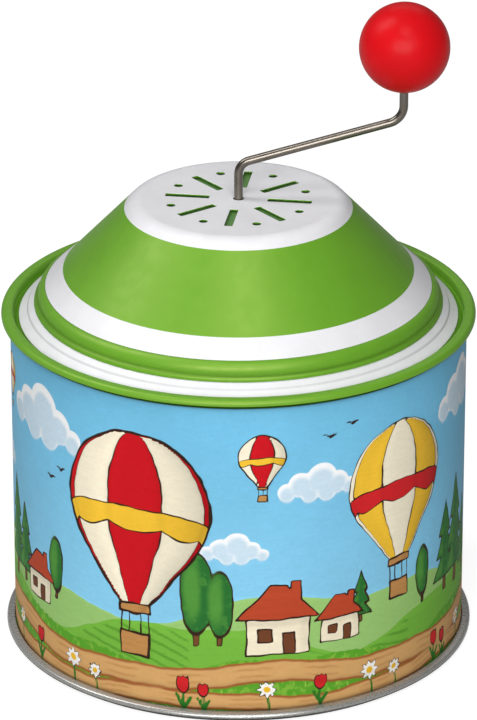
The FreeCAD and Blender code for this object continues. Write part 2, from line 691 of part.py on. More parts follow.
def worm():
    """Single right-hand thread on a core, with its middle turn facing the wheel at the arbor's height."""
    narrowing = math.tan(math.radians(FLANK_ANGLE))
    root = WORM_PITCH_RADIUS - TOOTH_DEPTH
    half = WORM_THREAD_SHARE * LEAD / 2
    inside = root - TOOTH_DEPTH / 2
    inside_half = half + (WORM_PITCH_RADIUS - inside) * narrowing
    tip_half = half - TOOTH_HEIGHT * narrowing
    section = Part.makePolygon([
        at(inside, -inside_half), at(WORM_TIP_RADIUS, -tip_half), at(WORM_TIP_RADIUS, tip_half),
        at(inside, inside_half), at(inside, -inside_half),
    ])
    sweep = Part.BRepOffsetAPI.MakePipeShell(Part.makeHelix(LEAD, WORM_TURNS * LEAD, WORM_PITCH_RADIUS))
    sweep.setFrenetMode(True)
    sweep.add(Part.Wire(section))
    sweep.build()
    sweep.makeSolid()
    thread = sweep.shape()
    quarter_turn = LEAD / 4
    thread.translate(Vector(0, 0, AXIS_Z - WORM_TURNS * LEAD / 2 - quarter_turn))
    solid = upright(root, WORM_LOW, WORM_TOP).fuse(thread)
    return solid.cut(upright(WIRE_RADIUS + FIT, WORM_LOW, WORM_TOP))


def thrust_washers():
    inner = WIRE_RADIUS + FIT
    return [washer(inner, WASHER_RADIUS, WORM_TOP, WORM_TOP + WASHER_SHEET),
            washer(inner, WASHER_RADIUS, WORM_LOW - WASHER_SHEET, WORM_LOW)]


def shaft_clip():
    """Open clip in the groove at the lower end of the shaft."""
    inner = WIRE_RADIUS - GROOVE_IN_WIRE + FIT
    mouth = box(0, CLIP_RADIUS, -CLIP_MOUTH / 2, CLIP_MOUTH / 2, CLIP_TOP - CLIP_SHEET, CLIP_TOP)
    return washer(inner, CLIP_RADIUS, CLIP_TOP - CLIP_SHEET, CLIP_TOP).cut(mouth)


def bent_path(corners, radii):
    """Wire through the corners, with each inner corner rounded to its radius."""
    edges = []
    start = corners[0]
    for before, corner, after, radius in zip(corners, corners[1:], corners[2:], radii):
        back = (before - corner).normalize()
        ahead = (after - corner).normalize()
        turn = math.pi - back.getAngle(ahead)
        run = radius * math.tan(turn / 2)
        to_centre = (back + ahead).normalize()
        middle = corner + to_centre * (radius / math.cos(turn / 2) - radius)
        edges.append(Part.LineSegment(start, corner + back * run).toShape())
        edges.append(Part.Arc(corner + back * run, middle, corner + ahead * run).toShape())
        start = corner + ahead * run
    edges.append(Part.LineSegment(start, corners[-1]).toShape())
    return Part.Wire(edges)


def wire_groove(z0, z1, x=0.0):
    return upright(WIRE_RADIUS * 2, z0, z1, x).cut(upright(WIRE_RADIUS - GROOVE_IN_WIRE, z0, z1, x))


def crank():
    """Bent wire: shaft, sloped arm and the upright end that the knob turns on."""
    corners = [at(0, SHAFT_END), at(0, ELBOW_Z), at(CRANK_THROW, UPPER_ELBOW_Z), at(CRANK_THROW, WIRE_TIP)]
    path = bent_path(corners, [LOWER_BEND, UPPER_BEND])
    section = Part.Wire(Part.makeCircle(WIRE_RADIUS, at(0, SHAFT_END), Vector(0, 0, 1)))
    wire = path.makePipeShell([section], True, True)
    tip = [edge for edge in wire.Edges if abs(edge.BoundBox.ZMin - WIRE_TIP) < FIT]
    wire = wire.makeChamfer(WIRE_CHAMFER, tip)
    snap = wire_groove(SNAP_Z - SNAP_RIB / 2 - SNAP_PLAY, SNAP_Z + SNAP_RIB / 2 + SNAP_PLAY, CRANK_THROW)
    clip = wire_groove(CLIP_TOP - CLIP_SHEET - FIT, CLIP_TOP + FIT)
    return wire.cut([snap, clip])


def knob():
    """Ball with a blind hole from below."""
    ball = Part.makeSphere(KNOB_RADIUS, at(CRANK_THROW, KNOB_Z))
    hole_top = WIRE_TIP + SLEEVE_HEADROOM + SLEEVE_ROOF + FIT
    return ball.cut(upright(SLEEVE_RADIUS + FIT, KNOB_Z - KNOB_RADIUS, hole_top, CRANK_THROW))


def knob_sleeve():
    """Closed sleeve in the ball's hole, with a rib that snaps into the wire's groove."""
    bore = WIRE_RADIUS + RUNNING
    rib = WIRE_RADIUS - GROOVE_IN_WIRE / 2
    low = KNOB_Z - KNOB_RADIUS + SLEEVE_RECESS
    bore_top = WIRE_TIP + SLEEVE_HEADROOM
    top = bore_top + SLEEVE_ROOF
    return spun(outline(
        (bore, low),
        (SLEEVE_RADIUS, low),
        (SLEEVE_RADIUS, top),
        (0.0, top),
        (0.0, bore_top),
        (bore, bore_top),
        (bore, SNAP_Z + SNAP_RIB / 2),
        (rib, SNAP_Z + SNAP_RIB / 2),
        (rib, SNAP_Z - SNAP_RIB / 2),
        (bore, SNAP_Z - SNAP_RIB / 2),
    ), CRANK_THROW)


PIECES = (
    tin_body, bottom_end, top_ring, lid, sound_pan,
    carrier_dish, carrier_screws, bedplate, shaft_bracket, bracket_screws, upper_bush, lower_bush,
    comb, comb_screws, cylinder_sleeve, cylinder_caps, cylinder_arbor, arbor_clips, worm_wheel,
    worm, thrust_washers, shaft_clip, crank, knob, knob_sleeve,
)


def one_shape(made):
    """A piece as its only solid, or a group of like solids as a compound."""
    solids = []
    for shape in made if isinstance(made, list) else [made]:
        solids.extend(shape.Solids)
    return solids[0] if len(solids) == 1 else Part.makeCompound(solids)


def main():
    os.makedirs("parts", exist_ok=True)
    for piece in PIECES:
        one_shape(piece()).exportStep("parts/%s.step" % piece.__name__)


main()
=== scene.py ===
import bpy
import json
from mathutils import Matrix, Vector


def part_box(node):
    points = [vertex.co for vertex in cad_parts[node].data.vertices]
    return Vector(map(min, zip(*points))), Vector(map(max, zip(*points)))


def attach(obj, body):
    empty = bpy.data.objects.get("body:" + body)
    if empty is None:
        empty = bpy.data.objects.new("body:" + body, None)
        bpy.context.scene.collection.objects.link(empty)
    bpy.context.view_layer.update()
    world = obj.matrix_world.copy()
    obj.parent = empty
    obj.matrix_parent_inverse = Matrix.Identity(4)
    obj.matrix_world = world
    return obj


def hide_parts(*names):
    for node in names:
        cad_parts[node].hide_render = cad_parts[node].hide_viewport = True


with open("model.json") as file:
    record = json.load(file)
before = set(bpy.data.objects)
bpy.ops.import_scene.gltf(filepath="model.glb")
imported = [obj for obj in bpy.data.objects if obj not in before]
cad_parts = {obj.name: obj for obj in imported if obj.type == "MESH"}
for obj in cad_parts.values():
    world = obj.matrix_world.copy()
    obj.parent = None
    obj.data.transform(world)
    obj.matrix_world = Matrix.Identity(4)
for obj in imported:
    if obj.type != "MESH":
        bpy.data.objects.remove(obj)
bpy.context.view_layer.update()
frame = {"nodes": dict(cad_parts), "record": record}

import json
import math
from types import SimpleNamespace
from typing import NamedTuple

import bmesh
import bpy
import numpy as np
from bpy.props import FloatProperty, FloatVectorProperty, IntProperty, PointerProperty
from mathutils import Vector

bl_info = {
    "name": "Crank Music Tin",
    "version": (1, 0, 0),
    "blender": (4, 5, 0),
    "location": "3D View > Sidebar > Music Tin",
    "description": "Builds a printed tin with a coned lid, a wire crank and a ball around the packed solids",
    "category": "Add Mesh",
}

MM = 0.001  # metres in a millimetre
FULL_TURN = 2 * math.pi
ROUND_STEPS = 256  # steps of a surface turned about the tin's axis
EASE = 0.12  # distance of an added point from the end of a long run, in millimetres
WELD = 1e-7  # distance within which points are merged, in metres
FIT_GAP = 0.02  # gap left between pieces that touch, in millimetres
HEM_RISE = 0.4  # height of the lid's hem over the ledge, in millimetres
PEN_SOFT = 0.07  # softness of a pen line's edge, in millimetres
NOISE_LOW, NOISE_HIGH = 0.3, 0.7  # most values of a noise lie between these
PLAIN_SHEEN = (1.0, 1.0, 1.0)
GOLD_SHEEN = (1.0, 0.92, 0.38)
LAMP_AIM = 0.07  # height of the point that the lamps face, in metres
LAMP_BACK = 1.0  # distance of the lamps from that point, in metres


# Properties: the sizes and colours that a user would change

def size_of(description, default):
    """Length in metres."""
    return FloatProperty(description=description, default=default, min=0.0, precision=5, unit="LENGTH")


def slope_of(description, degrees):
    """Angle, given in degrees and kept in radians."""
    return FloatProperty(description=description, default=math.radians(degrees), subtype="ANGLE")


def colour_of(description, *parts):
    """Display colour, given by its red, green and blue from 0 to 255."""
    shade = [part / 255 for part in parts]
    return FloatVectorProperty(description=description, default=shade, min=0, max=1, subtype="COLOR_GAMMA")


def amount_of(description, default):
    """Number that is zero or more."""
    return FloatProperty(description=description, default=default, min=0.0)


class TinSizes(bpy.types.PropertyGroup):
    """Body, seams, bottom and ring of the tin."""
    body_radius: size_of("Outer radius of the printed wall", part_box("tin_body")[1].x)
    body_height: size_of("Height of the body with both seams", 0.0759)
    sheet: size_of("Thickness of the tinplate", 0.0003)
    seam_reach: size_of("How far the seams stand out from the wall", 0.0019)
    seam_height: size_of("Height of a rolled seam", 0.0025)
    wall_end: size_of("How far the wall's edges stay inside the seams", 0.00062)
    panel_depth: size_of("How far the bottom panel is recessed", 0.0032)
    sink_depth: size_of("Depth of the groove round the bottom panel", 0.0042)
    ledge_rise: size_of("Height of the ring's ledge over the upper seam", 0.00105)
    groove_depth: size_of("Depth of the groove inside the upper seam", 0.0023)
    neck_depth: size_of("Length of the neck that takes the lid", 0.0049)
    ring_white: size_of("Radius where the ring's white ends", 0.04775)
    margin: size_of("Width of the unprinted strip at the side seam", 0.008)


class LidSizes(bpy.types.PropertyGroup):
    """Coned lid with its pierced top."""
    radius: size_of("Radius of the hemmed flange", 0.04445)
    plug_outer: size_of("Outer radius of the wall that goes into the neck", 0.04395)
    fold_radius: size_of("Outer radius of the bead over the flange", 0.04365)
    bead_radius: size_of("Radius of the rolled bead", 0.0023)
    bead_rise: size_of("Height of the bead's centre over the ledge", 0.00175)
    band_width: size_of("Radial width of the lower band", 0.00387)
    band_slope: slope_of("Slope of the lower band", 42.8)
    cone_slope: slope_of("Slope of the cone", 46.6)
    top_radius: size_of("Radius of the corner between the cone and the flat top", 0.02275)
    top_round: size_of("Radius of the roll round the flat top", 0.004)
    top_white: size_of("Radius where the top's white ends", 0.02466)
    band_white: size_of("Radius where the band's white starts", 0.03807)
    bead_green: size_of("Radius where the band's white ends", 0.04194)
    shaft_hole: size_of("Radius of the hole for the crank", 0.00115)
    slot_inner: size_of("Radius where the slots start", 0.00635)
    slot_outer: size_of("Radius where the slots end", 0.0159)
    slot_width: size_of("Width of a slot", 0.0018)
    hole_radius: size_of("Radius of a round sound hole", 0.00095)
    hole_circle: size_of("Radius of the circle of round holes", 0.015)
    openings: IntProperty(description="Number of slots, and of round holes", default=8, min=3)
    slot_turn: slope_of("Turn of the first slot from the crank's arm", -8)
    hole_turn: slope_of("Turn of the first round hole from the crank's arm", 15)


class CrankSizes(bpy.types.PropertyGroup):
    """Bent wire and ball."""
    wire_radius: size_of("Radius of the crank's wire", 0.00095)
    throw: size_of("Distance from the shaft to the ball's axis", 0.03536)
    foot: size_of("Height of the shaft's lower end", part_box("crank")[0].z)
    elbow: size_of("Height where the arm leaves the shaft", 0.10876)
    arm_slope: slope_of("Slope of the arm", 16.1)
    lower_bend: size_of("Bend radius at the shaft", 0.0032)
    upper_bend: size_of("Bend radius under the ball", 0.0041)
    tip: size_of("Height of the wire's upper end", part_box("crank")[1].z)
    ball_radius: size_of("Radius of the ball", 0.00975)
    ball_height: size_of("Height of the ball's centre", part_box("knob")[1].z - 0.00975)
    bore_radius: size_of("Radius of the blind hole in the ball", 0.00252)


class FinishColours(bpy.types.PropertyGroup):
    """Colours of the lacquers and metals."""
    green: colour_of("Green lacquer", 102, 162, 42)
    white: colour_of("White lacquer", 232, 232, 235)
    tin: colour_of("Bare tinplate", 205, 204, 200)
    rim: colour_of("Dulled tinplate of the bottom", 178, 177, 174)
    margin: colour_of("Dull tinplate beside the side seam", 150, 150, 147)
    dish: colour_of("Lacquer of the dish and the pan inside the lid", 92, 138, 70)
    wire: colour_of("Steel wire", 128, 121, 112)
    red: colour_of("Lacquer of the ball", 212, 18, 26)
    zinc: colour_of("Die cast bedplate", 168, 168, 166)
    steel: colour_of("Screws, clips and bracket", 190, 190, 186)
    brass: colour_of("Worm and pinned cylinder", 205, 168, 96)
    nylon: colour_of("Bushes and worm wheel", 232, 231, 222)


class PictureColours(bpy.types.PropertyGroup):
    """Inks of the printed landscape, back to front."""
    sky_high: colour_of("Sky under the upper seam", 118, 195, 231)
    sky_low: colour_of("Sky over the hills", 140, 208, 241)
    cloud: colour_of("Rim of the clouds", 250, 252, 253)
    cloud_fill: colour_of("Shaded inside of the clouds", 206, 227, 241)
    sun: colour_of("Sun", 250, 208, 70)
    far_hill: colour_of("Far hills", 158, 203, 118)
    mid_hill: colour_of("Middle hills", 120, 184, 66)
    field_row: colour_of("Rows in the fields", 96, 160, 52)
    trunk: colour_of("Tree trunks", 118, 76, 44)
    tree: colour_of("Trees", 44, 112, 50)
    tree_light: colour_of("Lit side of the trees", 84, 150, 62)
    wall: colour_of("Cottage walls", 246, 234, 206)
    roof: colour_of("Cottage roofs", 188, 74, 46)
    opening: colour_of("Doors and windows", 112, 66, 42)
    meadow: colour_of("Near meadow", 92, 164, 46)
    meadow_light: colour_of("Blades in the meadow", 150, 198, 74)
    path_edge: colour_of("Edges of the paths", 164, 92, 50)
    path: colour_of("Paths", 216, 168, 108)
    path_rut: colour_of("Ruts in the paths", 190, 136, 82)
    envelope: colour_of("Balloons", 204, 24, 34)
    stripe: colour_of("Pale balloons and pale stripes", 250, 240, 214)
    band: colour_of("Bands of the balloons", 246, 196, 58)
    basket: colour_of("Baskets", 196, 142, 84)
    stem: colour_of("Stems and leaves", 46, 118, 40)
    petal: colour_of("Daisies", 252, 250, 244)
    tulip: colour_of("Tulips", 212, 40, 44)
    flower_eye: colour_of("Middle of the daisies", 244, 190, 48)
    line: colour_of("Pen lines and birds", 54, 36, 28)


class StageSettings(bpy.types.PropertyGroup):
    """Camera, lamps and floor."""
    camera_back: size_of("Distance of the camera in front of the tin", 1.017)
    camera_height: size_of("Height of the camera", 0.5099)
    aim_height: size_of("Height of the point that the camera looks at", 0.06263)
    lens: FloatProperty(description="Focal length", default=254.15, unit="CAMERA")
    key_power: amount_of("Power of the large lamp in front, in watts", 8.2)
    top_power: amount_of("Power of the small lamp high in front, in watts", 1.8)
    right_power: amount_of("Power of the small lamp on the right, in watts", 0.9)
    side_power: amount_of("Power of the lamp on the left, in watts", 4.0)
    back_power: amount_of("Power of the lamp behind, in watts", 0.6)
    room_light: amount_of("Brightness of the room all round", 0.04)
    floor: colour_of("Floor", 165, 165, 165)


def millimetres(group):
    """The lengths of a property group in millimetres, and its other values as they are."""
    values = {}
    for name, kind in group.bl_rna.properties.items():
        if kind.type in {"FLOAT", "INT"}:
            value = getattr(group, name)
            values[name] = value / MM if kind.unit == "LENGTH" else value
    return SimpleNamespace(**values)


def linear(colour):
    """Scene linear RGBA of a display colour: ((c + 0.055) / 1.055) ** 2.4 above the short straight start."""
    c = np.asarray(colour, float)[:3]
    light = np.where(c <= 0.04045, c / 12.92, ((c + 0.055) / 1.055) ** 2.4)
    return (*light.tolist(), 1.0)


# Shapes: paths, turned surfaces and meshes

def rounded_path(*corners, steps=7):
    """Open path (r, z) through corners, in millimetres.

    A corner (r, z, radius) is replaced by an arc tangent to both its sides. The arc's centre lies on the
    corner's bisector at radius / sin(half the corner's angle), and the arc starts and ends where it touches
    the sides.
    """
    points = [np.array([corners[0][:2]], float)]
    for before, here, after in zip(corners, corners[1:], corners[2:]):
        corner = np.array(here[:2], float)
        if len(here) < 3:
            points.append(corner[None])
            continue
        back = np.array(before[:2]) - corner
        ahead = np.array(after[:2]) - corner
        back /= np.linalg.norm(back)
        ahead /= np.linalg.norm(ahead)
        half = math.acos(np.clip(back @ ahead, -1, 1)) / 2
        bisector = (back + ahead) / np.linalg.norm(back + ahead)
        centre = corner + bisector * here[2] / math.sin(half)
        first = corner + back * here[2] / math.tan(half) - centre
        last = corner + ahead * here[2] / math.tan(half) - centre
        sweep = math.atan2(first[0] * last[1] - first[1] * last[0], first @ last)
        turn = np.linspace(0, sweep, steps)
        across = np.array([-first[1], first[0]])
        points.append(centre + np.outer(np.cos(turn), first) + np.outer(np.sin(turn), across))
    points.append(np.array([corners[-1][:2]], float))
    return np.concatenate(points)


def arc_path(centre, radius, start, end, steps):
    """Points (r, z) on a circle, with angles in degrees counted from +r towards +z."""
    turn = np.radians(np.linspace(start, end, steps))
    return np.array(centre) + radius * np.stack([np.cos(turn), np.sin(turn)], 1)


def eased(path):
    """The path with a point added near each end of its long runs, to keep smooth shading at the bends."""
    step = np.diff(path, axis=0)
    run = np.linalg.norm(step, axis=1)
    ease = np.where(run > 4 * EASE, EASE / np.maximum(run, EASE), 0)[:, None]
    every = np.stack([path[:-1], path[:-1] + step * ease, path[1:] - step * ease], 1).reshape(-1, 2)
    every = np.concatenate([every, path[-1:]])
    keep = np.concatenate([[True], np.linalg.norm(np.diff(every, axis=0), axis=1) > 1e-6])
    return every[keep]


def split_at(path, *radii):
    """The path with a point added wherever it crosses one of the radii."""
    for radius in radii:
        past = path[:, 0] - radius
        crossing = np.flatnonzero(past[:-1] * past[1:] < 0)
        before, after = path[crossing], path[crossing + 1]
        share = (past[crossing] / (past[crossing] - past[crossing + 1]))[:, None]
        path = np.insert(path, crossing + 1, before + share * (after - before), axis=0)
    return path


def anticlockwise(path):
    """A closed path in the direction that puts the outside on its right, by the sign of its enclosed area."""
    r, z = path.T
    area = np.sum(r * np.roll(z, -1) - np.roll(r, -1) * z)
    return path if area > 0 else path[::-1]


def turned(path, angles, x=0.0):
    """Surface of a path (r, z) turned about an upright axis: (x + r cos a, r sin a, z) at each angle a."""
    r, z = path.T
    return np.stack([x + np.outer(np.cos(angles), r), np.outer(np.sin(angles), r),
                     np.broadcast_to(z, (len(angles), len(z)))], -1)


def whole_round(steps=ROUND_STEPS):
    """Equal angles all the way round: n / steps of a turn."""
    return np.arange(steps) * FULL_TURN / steps


def grid_faces(rows, columns, close_rows=True, close_columns=True):
    """Corner numbers of a grid's quads; a closed grid's last row or column is joined to its first."""
    index = np.arange(rows * columns).reshape(rows, columns)
    if close_rows:
        index = np.vstack([index, index[:1]])
    if close_columns:
        index = np.hstack([index, index[:, :1]])
    return np.stack([index[:-1, :-1], index[1:, :-1], index[1:, 1:], index[:-1, 1:]], -1).reshape(-1, 4)


def mesh_of(name, points, faces):
    """Mesh from an array of points in millimetres and an array of quads."""
    mesh = bpy.data.meshes.new(name)
    mesh.vertices.add(len(points))
    mesh.vertices.foreach_set("co", (points * MM).astype(np.float32).ravel())
    mesh.loops.add(faces.size)
    mesh.loops.foreach_set("vertex_index", faces.astype(np.int32).ravel())
    mesh.polygons.add(len(faces))
    mesh.polygons.foreach_set("loop_start", np.arange(0, faces.size, 4, dtype=np.int32))
    mesh.update(calc_edges=True)
    mesh.validate()
    return mesh


def turned_mesh(name, path, angles=None, x=0.0, close_path=True):
    """Mesh of a path turned all the way round."""
    angles = whole_round() if angles is None else angles
    points = turned(path, angles, x)
    return mesh_of(name, points.reshape(-1, 3), grid_faces(*points.shape[:2], True, close_path))


def welded(mesh):
    """The mesh with its coinciding points merged, which closes poles."""
    work = bmesh.new()
    work.from_mesh(mesh)
    bmesh.ops.remove_doubles(work, verts=work.verts, dist=WELD)
    bmesh.ops.dissolve_degenerate(work, edges=work.edges, dist=WELD)
    work.to_mesh(mesh)
    work.free()
    return mesh


def set_materials(mesh, marks):
    """Material number of each face of the mesh."""
    mesh.polygons.foreach_set("material_index", np.asarray(marks, np.int32))


def face_vectors(mesh, what):
    """The centre, in metres, or the normal of each face of the mesh."""
    vectors = np.empty(len(mesh.polygons) * 3, np.float32)
    mesh.polygons.foreach_get(what, vectors)
    return vectors.reshape(-1, 3)


def face_places(mesh):
    """Distance from the tin's axis and height of each face's centre, in millimetres."""
    x, y, z = face_vectors(mesh, "center").T / MM
    return np.hypot(x, y), z


def add_piece(name, mesh, finishes, body, node, sharp=35):
    """Object at the origin that rides on a body, stands for a node and is smooth but for its sharp edges.

    An edge is sharp where its faces turn by more than the angle sharp, in degrees.
    """
    if node not in frame["nodes"]:
        raise RuntimeError(f"the packed model has no node {node}")
    for finish in finishes:
        mesh.materials.append(finish)
    mesh.shade_smooth()
    mesh.set_sharp_from_angle(angle=math.radians(sharp))
    piece = bpy.data.objects.new(name, mesh)
    bpy.context.scene.collection.objects.link(piece)
    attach(piece, body)
    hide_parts(node)


# Finishes: node materials

class CreaseShade(NamedTuple):
    """Painted shade in a fold or at an edge: the way it is measured, its place and reach in mm, and its
    shade.
    """
    way: str
    place: float
    reach: float
    shade: float


class Finish:
    """A node material in the making, with short ways to add and join its nodes."""

    def __init__(self, name, **sockets):
        self.material = bpy.data.materials.new(name)
        self.material.use_nodes = True
        self.tree = self.material.node_tree
        self.shader = self.tree.nodes["Principled BSDF"]
        self.spot = self.node("ShaderNodeTexCoord").outputs["Object"]
        for socket, value in sockets.items():
            self.set(socket.replace("_", " "), value)

    def set(self, socket, value):
        """Feed a socket of the shader."""
        self.feed(self.shader.inputs[socket], value)

    def feed(self, socket, value):
        """Link a socket to another one, or give it a constant."""
        if isinstance(value, bpy.types.NodeSocket):
            self.tree.links.new(value, socket)
        else:
            socket.default_value = value

    def node(self, kind, inputs=None, **settings):
        """New node with its settings made and its inputs fed."""
        made = self.tree.nodes.new(kind)
        for name, value in settings.items():
            setattr(made, name, value)
        for name, value in (inputs or {}).items():
            self.feed(made.inputs[name], value)
        return made

    def calc(self, operation, first, second=0.0):
        """Sum, product or other operation on one or two values."""
        return self.node("ShaderNodeMath", {0: first, 1: second}, operation=operation).outputs[0]

    def mix(self, factor, first, second, blend="MIX"):
        """Two colours blended by a factor."""
        inputs = {0: factor, 6: first, 7: second}
        return self.node("ShaderNodeMix", inputs, data_type="RGBA", blend_type=blend).outputs[2]

    def span(self, value, low, high, to_low=0.0, to_high=1.0):
        """The value's smooth passage from low to high, as a number from to_low to to_high."""
        inputs = {"Value": value, "From Min": low, "From Max": high, "To Min": to_low, "To Max": to_high}
        return self.node("ShaderNodeMapRange", inputs, interpolation_type="SMOOTHSTEP").outputs["Result"]

    def stretched(self, x, y, z):
        """Object coordinates scaled apart, for grain that runs one way."""
        return self.node("ShaderNodeMapping", {"Vector": self.spot, "Scale": (x, y, z)}).outputs["Vector"]

    def noise(self, scale, detail=2.0, roughness=0.5, vector=None):
        """Noise from 0 to 1, with the scale in periods per metre."""
        inputs = {"Vector": self.spot if vector is None else vector}
        inputs.update({"Scale": scale, "Detail": detail, "Roughness": roughness})
        return self.node("ShaderNodeTexNoise", inputs).outputs["Fac"]

    def radius(self):
        """Distance from the tin's axis, in millimetres."""
        flat = self.node("ShaderNodeVectorMath", {0: self.spot, 1: (1 / MM, 1 / MM, 0)}, operation="MULTIPLY")
        return self.node("ShaderNodeVectorMath", {0: flat.outputs[0]}, operation="LENGTH").outputs["Value"]

    def height(self):
        """Height over the floor, in millimetres."""
        split = self.node("ShaderNodeSeparateXYZ", {0: self.spot})
        return self.calc("MULTIPLY", split.outputs["Z"], 1 / MM)

    def layer(self, name):
        """Value that the mesh keeps at each point under a name."""
        return self.node("ShaderNodeAttribute", attribute_name=name).outputs["Fac"]

    def bump(self, height, distance):
        """Normal bent by a height from 0 to 1 over a distance in millimetres."""
        made = self.node("ShaderNodeBump", {"Height": height, "Distance": distance * MM, "Strength": 1.0})
        self.set("Normal", made.outputs["Normal"])

    def rough(self, noise, low, high):
        """Roughness that follows a noise from low to high."""
        self.set("Roughness", self.span(noise, NOISE_LOW, NOISE_HIGH, low, high))

    def creased(self, colour, crease_shades):
        """The colour with painted shade close to each crease, by the radius or the height of the surface."""
        for crease in crease_shades:
            off = self.calc("ABSOLUTE", self.calc("SUBTRACT", getattr(self, crease.way)(), crease.place))
            dark = self.span(off, crease.reach / 4, crease.reach, crease.shade, 1.0)
            colour = self.mix(1.0, colour, dark, "MULTIPLY")
        return colour

    def vary(self, colour, noise, low, high):
        """The colour made darker and lighter by a noise, between two factors."""
        grey = self.span(noise, 0.25, 0.75, low, high)
        return self.mix(1.0, colour, grey, "MULTIPLY")


def satin_lacquer(name, colour, sheen, level, crease_shades=()):
    """Stoved lacquer of one colour with faint clouds and orange peel, under a soft sheen of its own tint."""
    finish = Finish(name, Specular_IOR_Level=level, Specular_Tint=(*sheen, 1.0))
    shade = finish.vary(linear(colour), finish.noise(160, 3), 0.965, 1.02)
    shade = finish.vary(shade, finish.noise(2600, 2), 0.985, 1.01)
    # painted shade in the creases darkens the lacquer's colour
    finish.set("Base Color", finish.creased(shade, crease_shades))
    finish.rough(finish.noise(420, 3), 0.39, 0.47)
    finish.bump(finish.noise(1500, 2), 0.012)
    return finish.material


def green_lacquer(colours, name, *crease_shades):
    """Green lacquer with the golden sheen that the tin gives it."""
    return satin_lacquer(name, colours.green, GOLD_SHEEN, 0.85, crease_shades)


def white_lacquer(colours, name, *crease_shades):
    """White lacquer with a plain, weak sheen."""
    return satin_lacquer(name, colours.white, PLAIN_SHEEN, 0.35, crease_shades)


def bare_tin(colour, name, roughness=0.3, metal=1.0):
    """Rolled tinplate: bright metal with fine rolling lines and faint clouds."""
    finish = Finish(name, Metallic=metal)
    lines = finish.noise(60, 4, 0.65, finish.stretched(6, 90, 90))
    clouds = finish.noise(90, 3)
    shade = finish.vary(linear(colour), clouds, 0.92, 1.03)
    finish.set("Base Color", finish.vary(shade, lines, 0.96, 1.02))
    finish.rough(lines, roughness - 0.03, roughness + 0.04)
    finish.bump(lines, 0.0004)
    return finish.material


def plain_metal(colour, name, roughness, scale, grain=(1, 1, 1), depth=0.002):
    """Metal with grain that runs along the axis of least scale."""
    finish = Finish(name, Metallic=1.0)
    lines = finish.noise(scale, 4, 0.6, finish.stretched(*grain))
    clouds = finish.noise(220, 3)
    shade = finish.vary(linear(colour), clouds, 0.88, 1.04)
    finish.set("Base Color", finish.vary(shade, lines, 0.92, 1.03))
    finish.rough(lines, roughness - 0.06, roughness + 0.08)
    finish.bump(lines, depth)
    return finish.material


def seam_shade(name, colour, share):
    """Painted shade for the underside of a rolled seam: a dull, dark share of its colour."""
    finish = Finish(name, Specular_IOR_Level=0.0, Roughness=0.9)
    shade = finish.mix(1.0, linear(colour), (share, share, share, 1.0), "MULTIPLY")
    finish.set("Base Color", finish.vary(shade, finish.noise(700, 3), 0.85, 1.1))
    return finish.material


def moulded_nylon(colours, name):
    """Nylon that lets light in by about a millimetre, with faint clouds and a fine grain."""
    finish = Finish(name, Roughness=0.48, Subsurface_Weight=0.15, Subsurface_Radius=(MM, MM, MM))
    finish.set("Base Color", finish.vary(linear(colours.nylon), finish.noise(300, 3), 0.95, 1.01))
    finish.bump(finish.noise(1800, 3), 0.01)
    return finish.material


def red_lacquer(colours, name):
    """Sprayed satin lacquer on a turned ball, with faint clouds and orange peel."""
    finish = Finish(name, Specular_IOR_Level=0.1)
    finish.set("Base Color", finish.vary(linear(colours.red), finish.noise(140, 3), 0.94, 1.03))
    finish.rough(finish.noise(500, 2), 0.3, 0.38)
    finish.bump(finish.noise(700, 2), 0.015)
    return finish.material


class Ink(NamedTuple):
    """Layer of the print: its ink, its edge's softness and the pen's half width round it, in millimetres."""
    name: str
    soft: float
    pen: float = 0.0


PAINT_ORDER = (
    Ink("cloud", 0.12), Ink("cloud_fill", 0.6), Ink("sun", 0.25), Ink("far_hill", 0.12),
    Ink("mid_hill", 0.12), Ink("field_row", 0.3), Ink("trunk", 0.1, 0.12), Ink("tree", 0.12, 0.17),
    Ink("tree_light", 0.8),
    Ink("wall", 0.08, 0.17), Ink("roof", 0.08, 0.17), Ink("opening", 0.08, 0.13), Ink("meadow", 0.1),
    Ink("meadow_light", 0.15), Ink("path_edge", 0.25), Ink("path", 0.35), Ink("path_rut", 0.35),
    Ink("cord", 0.0, 0.14), Ink("envelope", 0.08, 0.27), Ink("stripe", 0.08, 0.12), Ink("band", 0.08, 0.14),
    Ink("basket", 0.08, 0.2), Ink("stem", 0.1), Ink("petal", 0.08, 0.1), Ink("tulip", 0.08, 0.13),
    Ink("flower_eye", 0.1), Ink("line", 0.1),
)


